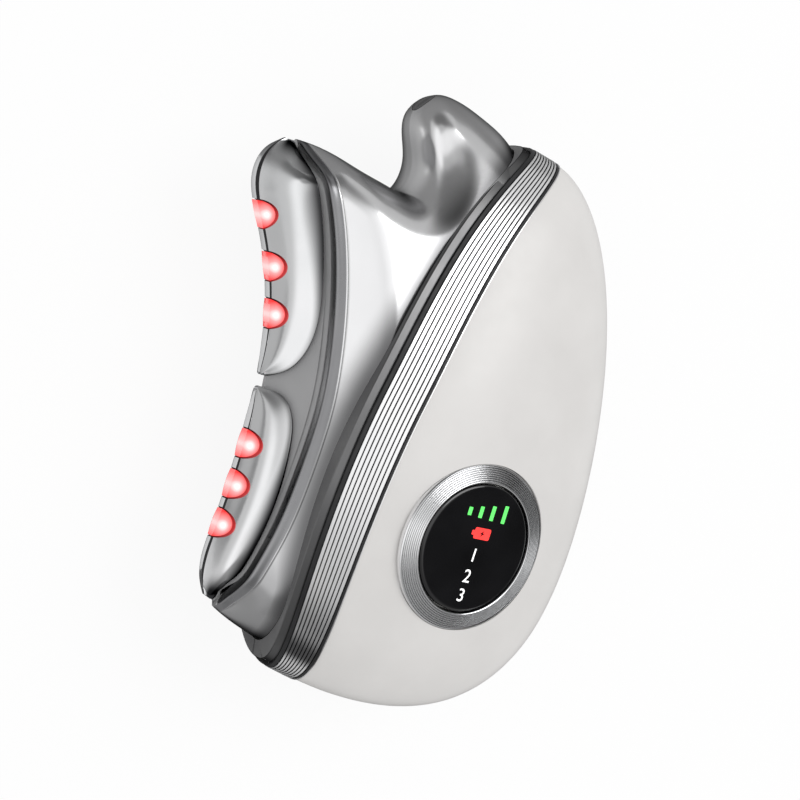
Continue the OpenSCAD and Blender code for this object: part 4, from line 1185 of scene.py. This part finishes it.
def plug_placed(points):
    """Points of the plug's own axes (z into the prong) to the row frame."""
    c, s = math.cos(PLUG_TURN), math.sin(PLUG_TURN)
    x, y, z = np.asarray(points, float).T
    return placed(np.stack([c * z - s * y, -s * z - c * y, x], -1) + PLUG_FACE)


def prong_plug(shells):
    """Dark insert in the prong's tip: a dish that follows the skin round it."""
    skin = [BVHTree.FromObject(obj, bpy.context.evaluated_depsgraph_get()) for obj in shells]
    r = PLUG_D / 2
    inward = Vector(plug_placed([(0, 0, 1)])[0] - plug_placed([(0, 0, 0)])[0]).normalized()

    def surface(x, y):
        start = Vector(plug_placed([(x, y, -PLUG_OUT)])[0])
        hits = [tree.ray_cast(start, inward)[3] for tree in skin]
        return min((h for h in hits if h), default=PLUG_OUT * MM) / MM - PLUG_OUT

    # Radius and depth under the skin of each ring of the dish.
    rings = [(0.02, 0.16), (0.5, 0.15), (1.0, 0.13), (r - 0.55, 0.1), (r - 0.35, 0.03),
             (r - 0.16, -0.02), (r - 0.06, 0.02), (r, 0.12)]
    loops = []
    for a in turns(96):
        c, s = math.cos(a), math.sin(a)
        front = [(q * c, q * s, surface(q * c, q * s) + deep) for q, deep in rings]
        loops.append([*front, (r * c, r * s, PLUG_DEEP), (0.02 * c, 0.02 * s, PLUG_DEEP)])
    hole = moved(cylinder(r + 0.04, -PLUG_OUT, PLUG_DEEP + 0.1), plug_placed)
    for shell in shells:
        cut(shell, [hole])
    piece("prong_plug_dish", moved(ring_solid(np.array(loops)), plug_placed), PLUG,
          replaces=["prong_plug"])


# ---- other CAD nodes
def dress_nodes():
    slots = {s["node"]: s["material_slot"] for s in frame["record"]["subparts"]}
    for name, obj in frame["nodes"].items():
        obj.data.materials.clear()
        obj.data.materials.append(NODE_FINISH[slots[name]])


# ---- studio
VIEW_SCALE = 0.172          # mm to a pixel of the 800 pixel photograph
VIEW_HALF = 400 * VIEW_SCALE
VIEW_FAR = 700.0
VIEW_SHIFT = (9.0, 11.5)    # pixels from the band's middle to the picture's middle
VIEW_RIGHT = Vector((0.8667, 0.2924, 0.4042)).normalized()
VIEW_UP = Vector((-0.265, 0.9563, -0.1236)).normalized()


def camera():
    back = VIEW_RIGHT.cross(VIEW_UP).normalized()
    up = back.cross(VIEW_RIGHT)
    origin = Vector(placed(np.zeros(3)))
    data = bpy.data.cameras.new("photo_camera")
    data.sensor_fit = "HORIZONTAL"
    data.angle = 2 * math.atan(VIEW_HALF / VIEW_FAR)
    data.clip_start, data.clip_end = 0.01, 50
    obj = linked("photo_camera", data)
    place = (origin - VIEW_RIGHT * (VIEW_SHIFT[0] * VIEW_SCALE * MM)
             + up * (VIEW_SHIFT[1] * VIEW_SCALE * MM) + back * (VIEW_FAR * MM))
    turn = Matrix((VIEW_RIGHT, up, back)).transposed().to_4x4()
    obj.matrix_world = Matrix.Translation(place) @ turn
    bpy.context.scene.camera = obj


def seen_plainly(nodes):
    """1 for camera, glossy and transmission rays, which see the plain background."""
    path = nodes.node("ShaderNodeLightPath")
    total = path.outputs["Is Camera Ray"]
    for name in ("Is Glossy Ray", "Is Transmission Ray"):
        total = nodes.math("MAXIMUM", total, path.outputs[name])
    return total


SKY_LEVEL = 0.8
FLOOR_HALF, FLOOR_UNDER = 6.0, 0.0002
FLOOR_COLOUR = (0.93, 0.93, 0.93, 1)
FLOOR_LIT = 0.9             # share of plain white in the floor, as the camera sees it


def world():
    made = bpy.data.worlds.new("studio")
    bpy.context.scene.world = made
    nodes = Nodes(made)
    back = nodes.tree.nodes["Background"]
    nodes.put((1, 1, 1, 1), back.inputs["Color"])
    level = nodes.map_range(seen_plainly(nodes), 0, 1, SKY_LEVEL, 1)
    nodes.put(level, back.inputs["Strength"])


def flat_mesh(name, outline, height=0.0):
    mesh = bpy.data.meshes.new(name)
    mesh.from_pydata([(x, y, height) for x, y in outline], [], [list(range(len(outline)))])
    return mesh


def square(half):
    return [(-half, -half), (half, -half), (half, half), (-half, half)]


def floor():
    """White sweep that keeps a faint shadow under the object."""
    mesh = flat_mesh("floor", square(FLOOR_HALF))
    obj = linked("floor", mesh)
    obj.location = (0, 0, -FLOOR_UNDER)
    mat = bpy.data.materials.new("floor_white")
    nodes = Nodes(mat)
    nodes.tree.nodes.clear()
    out = nodes.node("ShaderNodeOutputMaterial")
    plain = nodes.node("ShaderNodeBsdfDiffuse", Color=FLOOR_COLOUR)
    white = nodes.node("ShaderNodeEmission", Strength=1.0)
    share = nodes.math("MULTIPLY", seen_plainly(nodes), FLOOR_LIT)
    mix = nodes.node("ShaderNodeMixShader", Fac=share)
    nodes.put(plain.outputs[0], mix.inputs[1])
    nodes.put(white.outputs[0], mix.inputs[2])
    nodes.put(mix.outputs[0], out.inputs["Surface"])
    mesh.materials.append(mat)


def reflector(name, mesh, material):
    """A stage object that only gloss sees: it neither lights nor shades the set."""
    obj = linked(name, mesh)
    mesh.materials.append(material)
    for ray in ("camera", "diffuse", "transmission", "volume_scatter", "shadow"):
        setattr(obj, "visible_" + ray, False)


DOME_R = 2.0
SKY_BASE = 0.40
# Zones of the tent: azimuth and height of the middle (degrees), angle to the full
# tone and to its end, and the tone. Later zones lie over earlier ones.
ZONES = (("gray_left", 205, 8, 22, 48, 0.58),
         ("light_overhead", 10, 76, 12, 40, 1.0),
         ("light_left", 200, 46, 18, 40, 0.95),
         ("gray_beyond_prong", 62, 18, 22, 48, 0.50),
         ("gray_beyond_tip", 278, 40, 20, 42, 0.32),
         ("dark_corner", 126, 26, 20, 46, 0.14),
         ("gray_on_prong", 158, 52, 6, 20, 0.42),
         ("dark_right", 0, 18, 22, 38, 0.03))
# The floor card darkens near the object: painted shade for the object's shadow in the floor's
# reflection.
FLOOR_NEAR, FLOOR_FAR, FLOOR_CORNER = 0.08, 0.46, 0.24
NEAR_MIDDLE = (0.004, -0.018, 0.0)
NEAR_REACH = (0.040, 0.075) # metres over which the floor lightens from there
CORNER_REACH = (0.050, 0.080)
CORNER_AZIMUTH = 120
CARD_HALF = 1.3
LAND_CARD = (-0.0125, -0.0035, 0.9)     # from, to (metres from the edge) and tone
KEY_AT, KEY_SIZE, KEY_POWER = (0.6, 0.5, 1.1), 0.9, 5.0


class Tone(Nodes):
    """Material of a reflector, whose tone is worked out from its own coordinates."""

    def __init__(self, name):
        self.mat = bpy.data.materials.new(name)
        super().__init__(self.mat)
        self.tree.nodes.clear()
        out = self.node("ShaderNodeOutputMaterial")
        self.glow = self.node("ShaderNodeEmission")
        self.put(self.glow.outputs[0], out.inputs["Surface"])
        self.place = self.coords()

    def vector(self, operation, a, b):
        return self.math(operation, a, b, "ShaderNodeVectorMath")

    def fade(self, *values):
        return self.map_range(*values, shape="SMOOTHSTEP")

    def done(self, tone):
        self.put(tone, self.glow.inputs["Color"])
        return self.mat


def towards(azimuth, height):
    a, h = math.radians(azimuth), math.radians(height)
    return math.cos(a) * math.cos(h), math.sin(a) * math.cos(h), math.sin(h)


def light_tent():
    """A round tent with soft lit and dark zones, seen in the gloss alone."""
    mesh = bpy.data.meshes.new("light_tent")
    bm = bmesh.new()
    bmesh.ops.create_icosphere(bm, subdivisions=5, radius=DOME_R)
    bm.to_mesh(mesh)
    bm.free()
    tent = Tone("light_tent")
    way = tent.vector("NORMALIZE", tent.place, (0, 0, 0))
    tone = SKY_BASE
    for _, azimuth, height, full, end, level in ZONES:
        along = tent.vector("DOT_PRODUCT", way, towards(azimuth, height))
        tone = tent.fade(along, math.cos(math.radians(end)), math.cos(math.radians(full)),
                         tone, level)
    reflector("light_tent", mesh, tent.done(tone))


def floor_cards():
    """The floor as gloss sees it: dark by the object as painted shade, with a white card by
    the edge.
    """
    mesh = flat_mesh("card_floor", square(CARD_HALF))
    card = Tone("card_floor")
    corner = card.vector("DOT_PRODUCT", card.place, towards(CORNER_AZIMUTH, 0))
    far = card.fade(corner, *CORNER_REACH, FLOOR_FAR, FLOOR_CORNER)
    out = card.vector("LENGTH", card.vector("SUBTRACT", card.place, NEAR_MIDDLE), (0, 0, 0))
    reflector("card_floor", mesh, card.done(card.fade(out, *NEAR_REACH, FLOOR_NEAR, far)))
    edge = placed(head_point(spline(EDGE, np.linspace(0, 1, 40))))[:, :2]
    start, stop, level = LAND_CARD
    near, far = edge + [start, 0], edge + [stop, 0]
    mesh = flat_mesh("card_edge", [*near, *far[::-1]], 0.0001)
    reflector("card_edge", mesh, Tone("card_edge").done((level, level, level, 1)))


def key_lamp():
    data = bpy.data.lights.new("key", "AREA")
    data.shape = "DISK"
    data.size = KEY_SIZE
    data.energy = KEY_POWER
    obj = linked("key", data)
    obj.location = KEY_AT
    obj.rotation_mode = "QUATERNION"
    obj.rotation_quaternion = Vector(KEY_AT).to_track_quat("Z", "Y")


def studio():
    camera()
    world()
    floor()
    key_lamp()
    light_tent()
    floor_cards()
    bpy.context.scene.view_settings.view_transform = "Standard"


shells = list(head_shells())
edge_carrier()
electrode("electrode_upper", PAD_HIGH, 0.49, 0.998, LENS_HIGH, True)
electrode("electrode_lower", PAD_LOW, 0.006, 0.472, LENS_LOW, False)
lens_piece("lenses_upper", LENS_HIGH)
lens_piece("lenses_lower", LENS_LOW)
ribbed_band()
neck_collar()
grip()
display()
marks()
for row, text in zip(ROWS_AT, "123"):
    numeral(text, NUMERAL_X, row)
prong_plug(shells)
dress_nodes()
studio()
